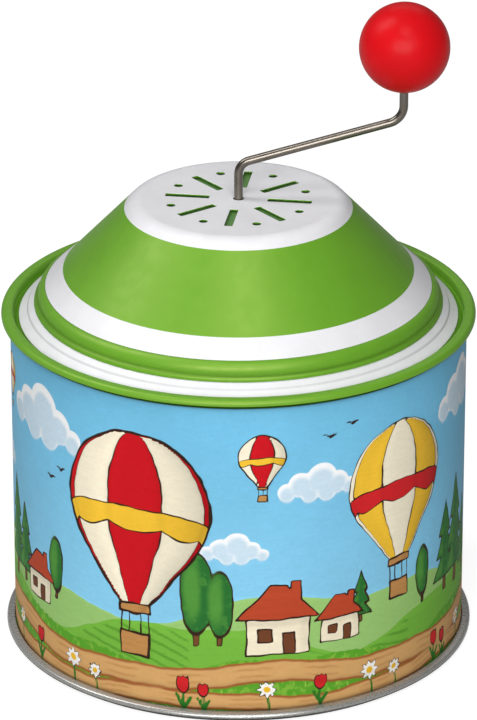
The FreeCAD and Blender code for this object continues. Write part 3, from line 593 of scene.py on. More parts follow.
def printed_picture(inks, colours, name, height):
    """Varnished print: each ink covers those before it where its layer, a signed distance, is below zero.

    The pen's line follows the zero of the same layer, and a noise makes its width wander as a hand does.
    """
    finish = Finish(name, Specular_IOR_Level=0.07)
    z = finish.height()
    sky = finish.span(z, 0.25 * height, 0.97 * height)
    shade = finish.mix(sky, linear(inks.sky_low), linear(inks.sky_high))
    shade = finish.vary(shade, finish.noise(45, 3), 0.95, 1.04)
    press = finish.span(finish.noise(190, 2), NOISE_LOW, NOISE_HIGH, 0.6, 1.35)
    dabs = finish.noise(520, 3, 0.6)
    line = linear(inks.line)
    for ink in PAINT_ORDER:
        layer = finish.layer(ink.name)
        if ink.soft:
            cover = finish.span(layer, ink.soft, -ink.soft)
            shade = finish.mix(cover, shade, linear(getattr(inks, ink.name)))
        if ink.name in {"tree", "meadow"}:
            leaves = finish.calc("MULTIPLY", cover, finish.span(dabs, 0.5, 0.64, 0.0, 0.55))
            shade = finish.mix(leaves, shade, linear(getattr(inks, ink.name + "_light")))
        if ink.pen:
            off = finish.calc("ABSOLUTE", layer)
            edge = finish.calc("SUBTRACT", off, finish.calc("MULTIPLY", press, ink.pen))
            shade = finish.mix(finish.span(edge, PEN_SOFT, -PEN_SOFT), shade, line)
    strokes = finish.noise(120, 4, 0.7, finish.stretched(3, 3, 11))
    shade = finish.vary(shade, strokes, 0.96, 1.03)
    shade = finish.vary(shade, finish.noise(1500, 2), 0.975, 1.015)
    # the shading layer holds the print's own tones and the painted shadow along the seams
    shade = finish.mix(1.0, shade, finish.layer("shading"), "MULTIPLY")
    margin = finish.span(finish.layer("margin"), 0.06, -0.06)
    bare = finish.vary(linear(colours.margin), strokes, 0.85, 1.1)
    finish.set("Base Color", finish.mix(margin, shade, bare))
    finish.set("Metallic", margin)
    finish.rough(strokes, 0.46, 0.54)
    finish.bump(finish.noise(55, 2), 0.012)
    return finish.material


# The picture: signed distances on the flat sheet, in millimetres, negative inside

def joined(*shapes):
    """Any of the shapes: the least of their distances."""
    return np.minimum.reduce(shapes)


def within(*shapes):
    """What the shapes share: the greatest of their distances."""
    return np.maximum.reduce(shapes)


def stripes(value, pitch):
    """Distance to the nearest of a row of lines, which lie a pitch apart."""
    return np.abs(value / pitch % 1 - 0.5) * pitch


class Spot:
    """A motif's own coordinates x and y, from its place (s, z) and in units of its size.

    Its shapes are given in these units, and their distances come out in millimetres.
    """

    def __init__(self, at, s, z, size):
        self.x = (at.s - s) / size
        self.y = (at.z - z) / size
        self.size = size

    def oval(self, x, y, a, b):
        """Oval: (length of (dx / a, dy / b) - 1) times the smaller half axis."""
        return (np.hypot((self.x - x) / a, (self.y - y) / b) - 1) * min(a, b) * self.size

    def bar(self, x0, y0, x1, y1):
        """Distance to the nearest point of a segment."""
        run, rise = x1 - x0, y1 - y0
        along = np.clip(((self.x - x0) * run + (self.y - y0) * rise) / (run ** 2 + rise ** 2), 0, 1)
        return np.hypot(self.x - x0 - along * run, self.y - y0 - along * rise) * self.size

    def block(self, x, y, half_x, half_y):
        """Upright rectangle: the larger of the two distances past its sides."""
        return within(np.abs(self.x - x) - half_x, np.abs(self.y - y) - half_y) * self.size

    def wedge(self, y, half, rise):
        """Triangle on its base: below both slopes and above the base."""
        slope = (np.abs(self.x) * rise + (self.y - y - rise) * half) / math.hypot(half, rise)
        return within(y - self.y, slope) * self.size


class Drop(Spot):
    """Balloon's outline: a circle of radius 1, a small one below it, and the two lines that touch both."""
    mouth = 0.2
    length = 1.3
    foot = -length - 0.6 * mouth

    def __init__(self, at, s, z, size):
        super().__init__(at, s, z, size)
        out, fall = np.abs(self.x), -self.y
        lean = (1 - self.mouth) / self.length
        side = math.sqrt(1 - lean * lean)
        along = side * fall - lean * out
        small = np.hypot(out, fall - self.length) - self.mouth
        flank = np.where(along > side * self.length, small, side * out + lean * fall - 1)
        self.shape = np.where(along < 0, np.hypot(out, fall) - 1, flank) * size
        ball = np.sqrt(np.maximum(1 - fall * fall, 0.01 / size ** 2))
        half = np.maximum(np.where(fall < lean, ball, (1 - lean * fall) / side), 0.3 / size)
        self.across = np.clip(self.x / half, -1, 1)
        self.longitude = np.arcsin(self.across)


class Picture:
    """The layers of the print on a sheet of points (s round the tin from its front, z up), in millimetres.

    Slow and fast waves shift the points a little, so that every line wavers as a hand-drawn one does.
    """

    def __init__(self, s, z, length):
        wave_s = 0.13 * np.sin(0.53 * z + 0.29 * s) + 0.05 * np.sin(1.7 * z - 1.1 * s)
        wave_z = 0.13 * np.sin(0.57 * s + 0.41 * z) + 0.05 * np.sin(1.6 * s - 0.8 * z)
        self.at = SimpleNamespace(s=s + wave_s, z=z + wave_z)
        self.turn = FULL_TURN * s / length
        self.layers = {ink.name: np.full(s.shape, 50.0) for ink in PAINT_ORDER}
        self.shading = np.ones(s.shape)

    def paint(self, name, *shapes, weight=1.0):
        """Add shapes to a layer; a smaller weight gives them a finer pen line."""
        self.layers[name] = joined(self.layers[name], *(shape / weight for shape in shapes))

    def clear(self, name, shape):
        """Take a shape out of a layer."""
        self.layers[name] = np.maximum(self.layers[name], -shape)

    def tone(self, shape, value):
        """Darker or lighter by the value, over about a millimetre at the shape's edge."""
        self.shading *= 1 + (value - 1) * np.clip(0.5 - shape, 0, 1)

    def ridge(self, base, *waves):
        """Signed distance below a ridge: z less base plus waves (height, whole number of periods, phase)."""
        rise = sum(high * np.sin(count * self.turn + phase) for high, count, phase in waves)
        return self.at.z - base - rise

    def cloud(self, *place):
        """Row of puffs, the middle ones higher, with a shaded fill set low that leaves a white rim."""
        spot = Spot(self.at, *place)
        puffs = ((-0.4, -0.03, 0.12), (-0.2, 0.05, 0.17), (0.05, 0.12, 0.2), (0.26, 0.03, 0.15),
                 (0.43, -0.04, 0.1), (-0.1, -0.07, 0.13), (0.13, -0.06, 0.14))
        for name, fall, share in (("cloud", 0.0, 1.0), ("cloud_fill", 0.035, 0.78)):
            self.paint(name, *(spot.oval(x, y - fall, r * share, r * share) for x, y, r in puffs))

    def fir(self, *place):
        """Trunk and three triangles, each higher and narrower, with the left side lit."""
        spot = Spot(self.at, *place)
        tiers = joined(*(spot.wedge(0.14 + 0.24 * n, 0.26 - 0.06 * n, 0.38) for n in range(3)))
        self.paint("trunk", spot.block(0, 0.08, 0.035, 0.09))
        self.paint("tree", tiers)
        self.paint("tree_light", within(tiers + 0.6, (spot.x + 0.06) * spot.size))

    def poplar(self, *place):
        """Trunk and an upright oval, with a smaller lit oval towards its left."""
        spot = Spot(self.at, *place)
        self.paint("trunk", spot.block(0, 0.08, 0.03, 0.1))
        self.paint("tree", spot.oval(0, 0.56, 0.17, 0.45))
        self.paint("tree_light", spot.oval(-0.05, 0.6, 0.09, 0.33))

    def cottage(self, *place):
        """Block under a triangle that is cut off level, with a stack, a door, a window and rows of tiles."""
        spot = Spot(self.at, *place)
        eaves = 0.52
        wall = spot.block(0, eaves / 2, 0.43, eaves / 2)
        roof = within(spot.wedge(eaves, 0.57, 0.62), (spot.y - eaves - 0.5) * spot.size)
        door = spot.block(0.15, 0.16, 0.085, 0.16)
        pane = spot.block(-0.18, 0.28, 0.1, 0.1)
        self.paint("wall", wall)
        self.paint("roof", joined(roof, spot.block(0.25, eaves + 0.36, 0.07, 0.2)))
        self.paint("opening", door, pane)
        tiles = stripes(spot.y - eaves, 0.125) * spot.size
        self.tone(within(roof + 0.25, tiles - 0.16) + 0.4, 0.8)
        self.tone(within(wall, (eaves - 0.1 - spot.y) * spot.size), 0.84)
        self.tone(within(wall, (0.31 - spot.x) * spot.size), 0.9)

    def balloon(self, s, z, size, skin, trim, belt, gores=4, weight=1.0):
        """Gored envelope with an arched, scalloped belt, over a skirt, cords and a woven basket.

        A point's longitude is the arc sine of its share of the half width at its height. Gores are where the
        cosine of a multiple of it is below zero. The shading falls to the right and gleams on the left.
        """
        drop = Drop(self.at, s, z, size)
        gore = np.cos(gores * drop.longitude) * 0.16
        arch = -0.16 - 0.16 * (1 - np.cos(drop.longitude))
        hem = arch - 0.1 - 0.1 * np.abs(np.cos(gores * drop.longitude))
        belt_at = within(hem - drop.y, drop.y - arch - 0.13) * size
        skirt = drop.block(0, drop.foot, drop.mouth * 1.1, 0.06)
        basket_y = drop.foot - 0.5
        basket = within(drop.block(0, basket_y, 0.2, 0.16), drop.oval(0, basket_y, 0.26, 0.26))
        out = np.abs(drop.x)
        gap = drop.mouth * (0.4 if size > 8 else 0.0)
        cord_y = (drop.foot + basket_y) / 2
        cords = within(gap - out, out - drop.mouth * 0.95, np.abs(drop.y - cord_y) - 0.26) * size
        for name in ("envelope", "stripe", "band"):
            self.clear(name, drop.shape)
        self.paint("cord", cords, weight=weight)
        self.paint(skin, drop.shape, weight=weight)
        self.paint(trim, within(gore * size, drop.shape + 0.1), weight=weight)
        self.clear("band", within(belt_at, drop.shape))
        self.paint(belt, within(belt_at, drop.shape + 0.1), weight=weight)
        self.paint("basket", basket, skirt, weight=weight)
        weave = (stripes(drop.y - basket_y, 0.085) - 0.014) * size
        self.tone(within(basket + 0.15, weave) + 0.35, 0.72)
        edge = np.clip((drop.across - 0.1) / 0.9, 0, 1) ** 2 * np.clip(0.5 - drop.shape, 0, 1)
        gleam = np.exp(-((drop.across + 0.45) / 0.2) ** 2) * np.clip(-drop.shape / 3, 0, 1)
        seam = np.exp(-(gore / 0.045) ** 2) * np.clip(-drop.shape, 0, 1)
        self.shading *= (1 - 0.38 * edge) * (1 + 0.12 * gleam) * (1 - 0.1 * seam)

    def daisy(self, *place):
        """Petals that reach 0.76 + 0.24 cos 8a at the angle a, a round eye and a stem."""
        spot = Spot(self.at, *place)
        reach = np.hypot(spot.x, spot.y)
        petals = reach - 0.76 - 0.24 * np.cos(8 * np.arctan2(spot.y, spot.x))
        self.paint("stem", spot.bar(0.3, -2.6, 0, 0) - 0.3)
        self.paint("petal", petals * spot.size)
        self.paint("flower_eye", (reach - 0.34) * spot.size)

    def tulip(self, *place):
        """Oval cut off above along a zigzag, on a stem with two leaves."""
        spot = Spot(self.at, *place)
        crown = np.abs((spot.x + 10.4) % 0.42 - 0.21) * 1.5
        leaves = joined(spot.bar(-0.7, -1.2, 0, -2.6), spot.bar(0.7, -1.5, 0, -2.6)) - 0.17 * spot.size
        self.paint("stem", spot.bar(0, -2.8, 0, 0) - 0.3, leaves)
        self.paint("tulip", within(spot.oval(0, 0, 0.62, 1), (spot.y - 0.45 - crown) * spot.size))

    def bird(self, *place):
        """Two raised wings: a curve that rises to both sides and grows thin towards the tips."""
        spot = Spot(self.at, *place)
        out = np.abs(spot.x)
        rise = (spot.y - 0.9 * out + 0.55 * out * out) * spot.size
        self.paint("line", within(np.abs(rise) - 0.36 * (1.2 - out), (out - 1) * spot.size))


# Where the motifs are: (s, z) and a size, and for a path its height, half width and waves
PATHS = ((9.6, 2.1, (1.5, 4, 1.0), (0.5, 9, 0.2)), (3.9, 1.5, (0.8, 5, 2.6), (0.3, 12, 0.8)))
SUN = (128, 61, 6.5)
CLOUDS = (
    (-51, 60, 27), (17, 54, 17), (64, 62, 24), (-1, 40, 14), (-92, 63, 25), (-128, 55, 22), (112, 64, 27),
    (142, 52, 20), (88, 44, 15), (-76, 44, 15),
)
FIRS = (
    (56, 18, 21), (62.5, 17, 26), (69.5, 17, 18), (27.5, 20, 12), (-60, 18, 19), (-66.5, 17, 24),
    (-111, 20, 18), (-117, 19, 13), (98, 18, 18), (104, 18, 13), (148, 19, 16),
)
POPLARS = (
    (-9, 18, 21), (-4, 18, 17), (46, 19, 13), (-45.5, 20, 14), (-85, 20, 17), (121, 20, 18), (126, 20, 14),
    (-140, 20, 15),
)
COTTAGES = (
    (8.5, 15.5, 16), (22.5, 17, 10.5), (-52.5, 17, 11), (84, 17, 12), (-99, 17, 11), (-130, 17, 12),
    (136, 17, 10),
)
PALE_INKS = ("stripe", "band", "tulip")
RED_INKS = ("envelope", "stripe", "band")
BALLOONS = (
    (38, 51, 13.5, *PALE_INKS), (-23, 48.5, 17, *RED_INKS, 4, 1.2), (5, 62, 5, *RED_INKS, 3, 0.65),
    (-108, 52, 13, *PALE_INKS), (105, 53, 12.5, *RED_INKS), (-142, 56, 7, *RED_INKS, 3, 0.8),
    (-70, 64, 4, *PALE_INKS, 3, 0.55),
)
BIRDS = ((-47, 48, 2.2), (-43, 51, 1.7), (20, 65, 2.0), (25, 67, 1.6), (90, 60, 2.0), (-84, 52, 2.0))
DAISIES = (
    (-63, 8, 2.1), (-40, 7.6, 2.5), (-33.5, 6.6, 2.0), (6, 7.2, 2.3), (30, 7.8, 2.5), (37, 6.4, 2.0),
    (64, 7.4, 2.2), (-88, 7, 2.2), (-122, 7.4, 2.3), (92, 7, 2.2), (118, 7.6, 2.3), (143, 7, 2.0),
)
TULIPS = (
    (-52, 8.6, 2.2), (-12, 8.4, 2.3), (-7.5, 7.2, 1.9), (18, 8.2, 2.2), (51, 8.4, 2.2), (55, 7.2, 1.9),
    (-76, 8, 2.1), (-104, 8.2, 2.1), (76, 8.2, 2.1), (105, 8, 2.1), (131, 8.2, 2.0), (-137, 8, 2.1),
)


def draw_land(picture):
    """Hills, fields, meadow and paths, as ridges that repeat a whole number of times round the tin."""
    at = picture.at
    far = picture.ridge(25, (3.6, 3, 0.6), (1.8, 7, 1.1))
    mid = picture.ridge(18.5, (4.0, 4, 2.4), (1.3, 9, 0.3))
    tufts = stripes(at.s, 1.9) * 0.8 * (0.6 + 0.4 * np.sin(0.21 * at.s))
    near = picture.ridge(12.6, (1.7, 5, 0.4), (0.9, 11, 2.0)) - tufts
    picture.paint("far_hill", far)
    picture.paint("mid_hill", mid)
    rows = stripes(at.s * 0.55 + at.z * 1.5 + 4 * np.sin(4 * picture.turn), 3.4)
    picture.paint("field_row", within(rows - 0.55, mid + 0.8, 6 * np.sin(6 * picture.turn + 1.3)))
    picture.paint("meadow", near)
    blades = stripes(at.s + 0.35 * at.z, 2.3)
    gusts = 1.4 * np.sin(0.9 * at.z + 13 * picture.turn) + 0.5
    picture.paint("meadow_light", within(blades - 0.22, near + 1.2, gusts))
    picture.tone(np.abs(far) - 0.5, 1.07)
    picture.tone(within(mid, -mid - 2.2) + 0.2, 1.06)
    for base, half, *waves in PATHS:
        middle = picture.ridge(base, *waves)
        lane = np.abs(middle) - half
        picture.paint("path_edge", lane - 0.55)
        picture.paint("path", lane)
        ruts = np.abs(np.abs(middle) - half * 0.42) - 0.2
        picture.paint("path_rut", within(ruts, 0.5 * np.sin(0.42 * at.s + base) + 0.1))
        picture.tone(np.abs(middle + half) - 0.6, 0.86)


def draw_scene(picture):
    """All motifs, back to front: the sky, the land, and what stands, flies and grows over it."""
    for place in CLOUDS:
        picture.cloud(*place)
    picture.paint("sun", Spot(picture.at, *SUN).oval(0, 0, 1, 1))
    draw_land(picture)
    motifs = (
        (picture.fir, FIRS), (picture.poplar, POPLARS), (picture.cottage, COTTAGES),
        (picture.balloon, BALLOONS), (picture.bird, BIRDS), (picture.daisy, DAISIES), (picture.tulip, TULIPS),
    )
    for draw, places in motifs:
        for place in places:
            draw(*place)


# Operators: one for each piece or group of like pieces, and one for the stage

def seam_path(t, edge, outward, edge_corners):
    """Rolled seam (r, z), from the inner foot round its edge to the outer foot and into the wall's slot.

    A corner of the edge is given by how far it lies back from the seam's reach and the edge, and its bend.
    """
    inner = t.body_radius - 2 * t.sheet - FIT_GAP
    outer = t.body_radius + t.seam_reach
    low = edge - outward * t.seam_height
    foot = low + outward * 0.15
    slot_mouth = low + outward * 0.45
    slot_end = edge - outward * (t.wall_end - FIT_GAP)
    slot_out = t.body_radius + 2 * FIT_GAP
    slot_in = t.body_radius - t.sheet - FIT_GAP
    round_edge = [(outer - back, edge - outward * drop, bend) for back, drop, bend in edge_corners]
    return rounded_path(
        (inner, low), (inner, edge, 0.5), *round_edge,
        (t.body_radius + 0.6, foot, 0.35), (t.body_radius + 0.2, foot, 0.15),
        (slot_out, slot_mouth), (slot_out, slot_end), (slot_in, slot_end), (slot_in, low), steps=9,
    )


class MUSICTIN_OT_body(bpy.types.Operator):
    """Printed wall: a tube with a fine outer grid that carries the picture, and a plain inside"""
    bl_idname = "music_tin.body"
    bl_label = "Printed Body"

    def execute(self, context):
        t = millimetres(context.scene.music_tin_sizes)
        rows, around = 158, 600
        low, high = t.wall_end, t.body_height - t.wall_end
        inner = t.body_radius - t.sheet
        outside = np.stack([np.full(rows, t.body_radius), np.linspace(low, high, rows)], 1)
        path = np.concatenate([outside, [[inner, high], [inner, low]]])
        lap_half, lap_depth = 0.195, 0.12
        lap_edges = np.array([-0.6, -0.2, -0.19, 0.19, 0.2, 0.6])
        lap_at = math.pi / 2 + 3.2 / t.body_radius
        angles = np.sort(np.concatenate([whole_round(around), lap_at + lap_edges / t.body_radius]))
        points = turned(path, angles)
        line = (np.abs(angles - lap_at) * t.body_radius < lap_half)[:, None]
        sunk = np.where(line & (np.arange(len(path)) < rows)[None], lap_depth / t.body_radius, 0)
        points[..., :2] *= (1 - sunk)[..., None]
        faces = grid_faces(*points.shape[:2])
        mesh = mesh_of("printed_body", points.reshape(-1, 3), faces)
        set_materials(mesh, (faces % len(path)).max(1) >= rows)
        self.print_on(mesh, t, points, angles)
        inks = context.scene.music_tin_inks
        colours = context.scene.music_tin_colours
        finishes = [printed_picture(inks, colours, "printed_tin", t.body_height),
                    bare_tin(colours.tin, "tin_inside", 0.35)]
        add_piece("printed_body", mesh, finishes, "housing", "tin_body")
        return {"FINISHED"}

    @staticmethod
    def print_on(mesh, t, points, angles):
        """Keep the picture's layers, its shading with painted shadow exp(-gap / fade) at the seams, and its
        margin.

        The place s on the sheet is the angle from the front, within half a turn, times the body's radius.
        """
        shadow, fade = 0.6, 0.4
        s = ((angles + math.pi / 2 + math.pi) % FULL_TURN - math.pi) * t.body_radius
        s = np.broadcast_to(s[:, None], points.shape[:2]).ravel()
        z = points[..., 2].ravel()
        picture = Picture(s, z, FULL_TURN * t.body_radius)
        draw_scene(picture)
        seam_gap = np.minimum(z - t.seam_height, t.body_height - t.seam_height - z)
        layers = dict(picture.layers)
        # painted shadow: the print is darkened close to both seams
        layers["shading"] = picture.shading * (1 - shadow * np.exp(-np.maximum(seam_gap, 0) / fade))
        layers["margin"] = math.pi * t.body_radius - np.abs(s) - t.margin / 2
        for name, values in layers.items():
            mesh.attributes.new(name, "FLOAT", "POINT").data.foreach_set("value", values.astype(np.float32))


class MUSICTIN_OT_bottom(bpy.types.Operator):
    """Seamed bottom: a section with a recessed panel, a bead and a countersink, turned about the axis"""
    bl_idname = "music_tin.bottom"
    bl_label = "Seamed Bottom"

    def execute(self, context):
        t = millimetres(context.scene.music_tin_sizes)
        seam = seam_path(t, 0.0, -1, ((1.7, 0.0, 0.5), (0.0, 1.15, 0.4), (0.0, 2.1, 0.8)))
        shade_top = 1.5
        inner = t.body_radius - 2 * t.sheet - FIT_GAP
        sink_in = inner - 2.8
        panel_out = sink_in - 1.0
        bead_out = panel_out - 3.8
        bead = ((-4.0, 0.0), (-2.6, -0.5), (-1.4, -0.5), (0.0, 0.0))
        low_bead, high_bead = ([(bead_out + r, level + z, 1.2) for r, z in bead]
                               for level in (t.panel_depth, t.panel_depth + t.sheet))
        under = rounded_path(
            (0.0, t.panel_depth), *low_bead, (panel_out, t.panel_depth, 0.5),
            (sink_in, t.sink_depth, 0.4), (inner, t.sink_depth, 0.5), (inner, t.seam_height - 0.6), steps=6,
        )
        above = rounded_path(
            (inner + t.sheet, t.seam_height), (inner + t.sheet, t.sink_depth + t.sheet, 0.6),
            (sink_in - 0.1, t.sink_depth + t.sheet, 0.4), (panel_out - 0.1, t.panel_depth + t.sheet, 0.5),
            *high_bead[::-1], (0.0, t.panel_depth + t.sheet), steps=6,
        )
        path = anticlockwise(eased(np.concatenate([under[:-1], seam[1:], above])))
        mesh = welded(turned_mesh("tin_bottom", path))
        r, z = face_places(mesh)
        # painted shade: the low faces of the outer roll get the dark bottom_shade material
        set_materials(mesh, (r > t.body_radius + 0.1) & (z < shade_top))
        colours = context.scene.music_tin_colours
        finishes = [bare_tin(colours.rim, "bottom_tin", 0.27, 0.55),
                    seam_shade("bottom_shade", colours.tin, 0.22)]
        add_piece("tin_bottom", mesh, finishes, "housing", "bottom_end")
        return {"FINISHED"}


class MUSICTIN_OT_ring(bpy.types.Operator):
    """Seamed ring: the section of its seam, groove, stepped slope, ledge and neck, turned about the axis"""
    bl_idname = "music_tin.ring"
    bl_label = "Ring"

    def execute(self, context):
        t = millimetres(context.scene.music_tin_sizes)
        lid = millimetres(context.scene.music_tin_lid)
        seam = seam_path(t, t.body_height, 1, ((0.0, 0.0, 1.05), (0.0, 1.36, 0.3)))
        shade_drop = 1.3
        inner = t.body_radius - 2 * t.sheet - FIT_GAP
        neck = lid.plug_outer + FIT_GAP
        neck_foot = t.body_height - t.neck_depth
        ledge = t.body_height + t.ledge_rise
        ledge_out = lid.radius + 0.25
        floor_r = inner - 0.35
        floor_z = t.body_height - t.groove_depth
        step_run, step_fall = 0.3, 0.5
        slope = (ledge - step_fall - floor_z) / (floor_r - step_run - ledge_out)
        step_in = (ledge_out + 1.0, ledge - slope)
        step_out = (step_in[0] + step_run, step_in[1] - step_fall)
        above = rounded_path(
            (neck, neck_foot), (neck, ledge, 0.12), (ledge_out, ledge, 0.25), (*step_in, 0.18),
            (*step_out, 0.18), (floor_r, floor_z, 0.3), (inner, floor_z, 0.12), (inner, floor_z + 0.4),
            steps=6,
        )
        off = t.sheet
        underside = rounded_path(
            (inner + 0.15, floor_z - off), (floor_r - 0.1, floor_z - off, 0.3),
            (step_out[0] - 0.15, step_out[1] - off), (step_in[0] - 0.2, step_in[1] - off),
            (ledge_out - 0.1, ledge - off, 0.2), (neck + off, ledge - off, 0.2), (neck + off, neck_foot),
            steps=5,
        )
        path = split_at(eased(np.concatenate([above[:-1], seam[1:], underside])), t.ring_white)
        mesh = turned_mesh("green_ring", anticlockwise(path))
        r, z = face_places(mesh)
        hidden = (z < ledge - 0.45) & (r < neck + off + FIT_GAP)
        # painted shade: faces under the seam's outer roll get the dark ring_shade material
        below = (r > t.body_radius + FIT_GAP) & (z < t.body_height - shade_drop)
        set_materials(mesh, np.select([hidden, below, r < t.ring_white], [2, 3, 1], 0))
        colours = context.scene.music_tin_colours
        # painted shade darkens the groove at the white's edge and the fold of the step
        groove_shade = CreaseShade("radius", t.ring_white, 0.34, 0.5)
        step_shade = CreaseShade("radius", step_out[0] - 0.15, 0.2, 0.85)
        finishes = [green_lacquer(colours, "ring_green", groove_shade),
                    white_lacquer(colours, "ring_white", step_shade), bare_tin(colours.tin, "neck_tin"),
                    seam_shade("ring_shade", colours.green, 0.3)]
        add_piece("green_ring", mesh, finishes, "housing", "top_ring")
        return {"FINISHED"}


def lid_path(t, lid):
    """Section (r, z) of the lid's sheet, with the heights of its top and of the fold under its bead.

    It runs along the top, roll, cone, band, bead, hem and plug, and back along the inside.
    """
    ledge = t.body_height + t.ledge_rise
    bead = (lid.fold_radius - lid.bead_radius, ledge + lid.bead_rise)
    start = 75
    band_low = arc_path(bead, lid.bead_radius, start, start, 1)[0]
    cone_low = (band_low[0] - lid.band_width, band_low[1] + lid.band_width * math.tan(lid.band_slope))
    top = cone_low[1] + (cone_low[0] - lid.top_radius) * math.tan(lid.cone_slope)
    off = t.sheet
    hem = lid.radius - lid.fold_radius
    hem_z = ledge + HEM_RISE
    fold = hem_z + hem
    flange_z = ledge + FIT_GAP / 2
    plug_z = ledge - t.neck_depth
    outside = rounded_path(
        (lid.shaft_hole, top - off), (lid.shaft_hole, top, 0.1), (lid.top_radius, top, lid.top_round),
        (*cone_low, 1.6), band_low, steps=14,
    )
    roll = arc_path(bead, lid.bead_radius, start, 0, 16)
    crease = rounded_path(
        (lid.fold_radius, bead[1]), (lid.fold_radius, fold, 0.06), (lid.fold_radius + 0.1, fold), steps=4,
    )
    flange = arc_path((lid.fold_radius, hem_z), hem, 80, 0, 10)
    plug = rounded_path(
        (lid.radius, hem_z), (lid.radius, flange_z, 0.12), (lid.plug_outer, flange_z),
        (lid.plug_outer, plug_z, 0.2), (lid.fold_radius - off, plug_z, 0.2), (lid.fold_radius - off, bead[1]),
        steps=5,
    )
    inner_roll = arc_path(bead, lid.bead_radius - off, 0, start, 10)
    lean = off / math.sin(lid.cone_slope)
    top_in = lid.top_radius - off * math.tan(lid.cone_slope / 2)
    inside = rounded_path(
        inner_roll[-1], (cone_low[0] - lean * 0.9, cone_low[1] - 0.1),
        (top_in, top - off, lid.top_round - off), (lid.shaft_hole, top - off), steps=10,
    )
    sheet = np.concatenate([outside, roll[1:], crease[1:-1], flange, plug[1:], inner_roll[1:], inside[1:-1]])
    return sheet, top, fold


def flared_cutters(shapes, top):
    """Prisms through the lid's top: each outline goes straight up and flares at the sheet's upper side."""
    levels = ((-2.0, 0.0), (-0.06, 0.0), (0.0, 0.04), (0.3, 0.3))
    high = len(levels)
    points, faces, ends = [], [], []
    count = 0
    for outline, normal in shapes:
        around = len(outline)
        rings = [np.column_stack([outline + normal * out, np.full(around, top + z)]) for z, out in levels]
        foot = count + np.arange(around) * high
        faces.append(grid_faces(around, high, True, False) + count)
        ends += [foot[::-1], foot + high - 1]
        points.append(np.stack(rings, 1).reshape(-1, 3))
        count += around * high
    mesh = bpy.data.meshes.new("cutters")
    mesh.from_pydata((np.concatenate(points) * MM).tolist(), [],
                     np.concatenate(faces).tolist() + [end.tolist() for end in ends])
    return mesh


def slot_outline(lid, turn, steps=6):
    """Rounded rectangle along a radius, turned about the axis, and the outward normal at each point."""
    corner = 0.3
    quarter = np.linspace(0, math.pi / 2, steps)
    angle = np.concatenate([quarter + n * math.pi / 2 for n in range(4)])
    normal = np.stack([np.cos(angle), np.sin(angle)], 1)
    half_long = (lid.slot_outer - lid.slot_inner) / 2
    sign = np.repeat(np.array([[1, 1], [-1, 1], [-1, -1], [1, -1]]), steps, 0)
    middle = np.array([(lid.slot_outer + lid.slot_inner) / 2, 0])
    flat = middle + sign * np.array([half_long - corner, lid.slot_width / 2 - corner]) + normal * corner
    spin = np.array([[math.cos(turn), math.sin(turn)], [-math.sin(turn), math.cos(turn)]])
    return flat @ spin, normal @ spin


def hole_outline(lid, turn, steps=28):
    """Circle on the circle of holes, turned about the axis, and the outward normal at each point."""
    angle = whole_round(steps)
    normal = np.stack([np.cos(angle), np.sin(angle)], 1)
    middle = lid.hole_circle * np.array([math.cos(turn), math.sin(turn)])
    return middle + normal * lid.hole_radius, normal


def pierced(mesh, cutters):
    """The mesh with the cutters taken out of it."""
    blank = bpy.data.objects.new("lid_blank", mesh)
    punch = bpy.data.objects.new("lid_punch", cutters)
    for thing in (blank, punch):
        bpy.context.scene.collection.objects.link(thing)
    cut = blank.modifiers.new("pierce", "BOOLEAN")
    cut.operation = "DIFFERENCE"
    cut.solver = "EXACT"
    cut.object = punch
    shaped = blank.evaluated_get(bpy.context.evaluated_depsgraph_get())
    done = bpy.data.meshes.new_from_object(shaped)
    for thing in (blank, punch):
        bpy.data.objects.remove(thing)
    if len(done.polygons) <= len(mesh.polygons) // 2:
        raise RuntimeError("the lid could not be pierced")
    return done


class MUSICTIN_OT_lid(bpy.types.Operator):
    """Coned lid: the section of its sheet turned about the axis, with slots and holes cut through its top"""
    bl_idname = "music_tin.lid"
    bl_label = "Coned Lid"

    def execute(self, context):
        t = millimetres(context.scene.music_tin_sizes)
        lid = millimetres(context.scene.music_tin_lid)
        sheet, top, fold_z = lid_path(t, lid)
        path = split_at(eased(sheet), lid.top_white, lid.band_white, lid.bead_green)
        mesh = turned_mesh("coned_lid", anticlockwise(path))
        turns = np.arange(lid.openings) * FULL_TURN / lid.openings
        shapes = [slot_outline(lid, lid.slot_turn + turn) for turn in turns]
        shapes += [hole_outline(lid, lid.hole_turn + turn) for turn in turns]
        mesh = pierced(mesh, flared_cutters(shapes, top))
        mesh.name = "coned_lid"
        r, z = face_places(mesh)
        normal = face_vectors(mesh, "normal")
        outward = (normal * face_vectors(mesh, "center"))[:, :2].sum(1) / (r * MM)
        inside = (normal[:, 2] < -0.3) | (outward < -0.5) | (z < t.body_height + t.ledge_rise)
        cut_edge = (np.abs(normal[:, 2]) < 0.3) & (z > top - 0.5)
        white = (r < lid.top_white) | ((r > lid.band_white) & (r < lid.bead_green))
        set_materials(mesh, np.select([cut_edge, inside, white], [0, 2, 1], 0))
        colours = context.scene.music_tin_colours
        # painted shade darkens the fold under the bead and the corner where the band meets the bead
        fold = CreaseShade("height", fold_z, 0.4, 0.72)
        band_edge_shade = CreaseShade("radius", lid.bead_green, 0.24, 0.62)
        finishes = [green_lacquer(colours, "lid_green", fold, band_edge_shade),
                    white_lacquer(colours, "lid_white"), bare_tin(colours.tin, "lid_tin")]
        add_piece("coned_lid", mesh, finishes, "housing", "lid", sharp=18)
        return {"FINISHED"}


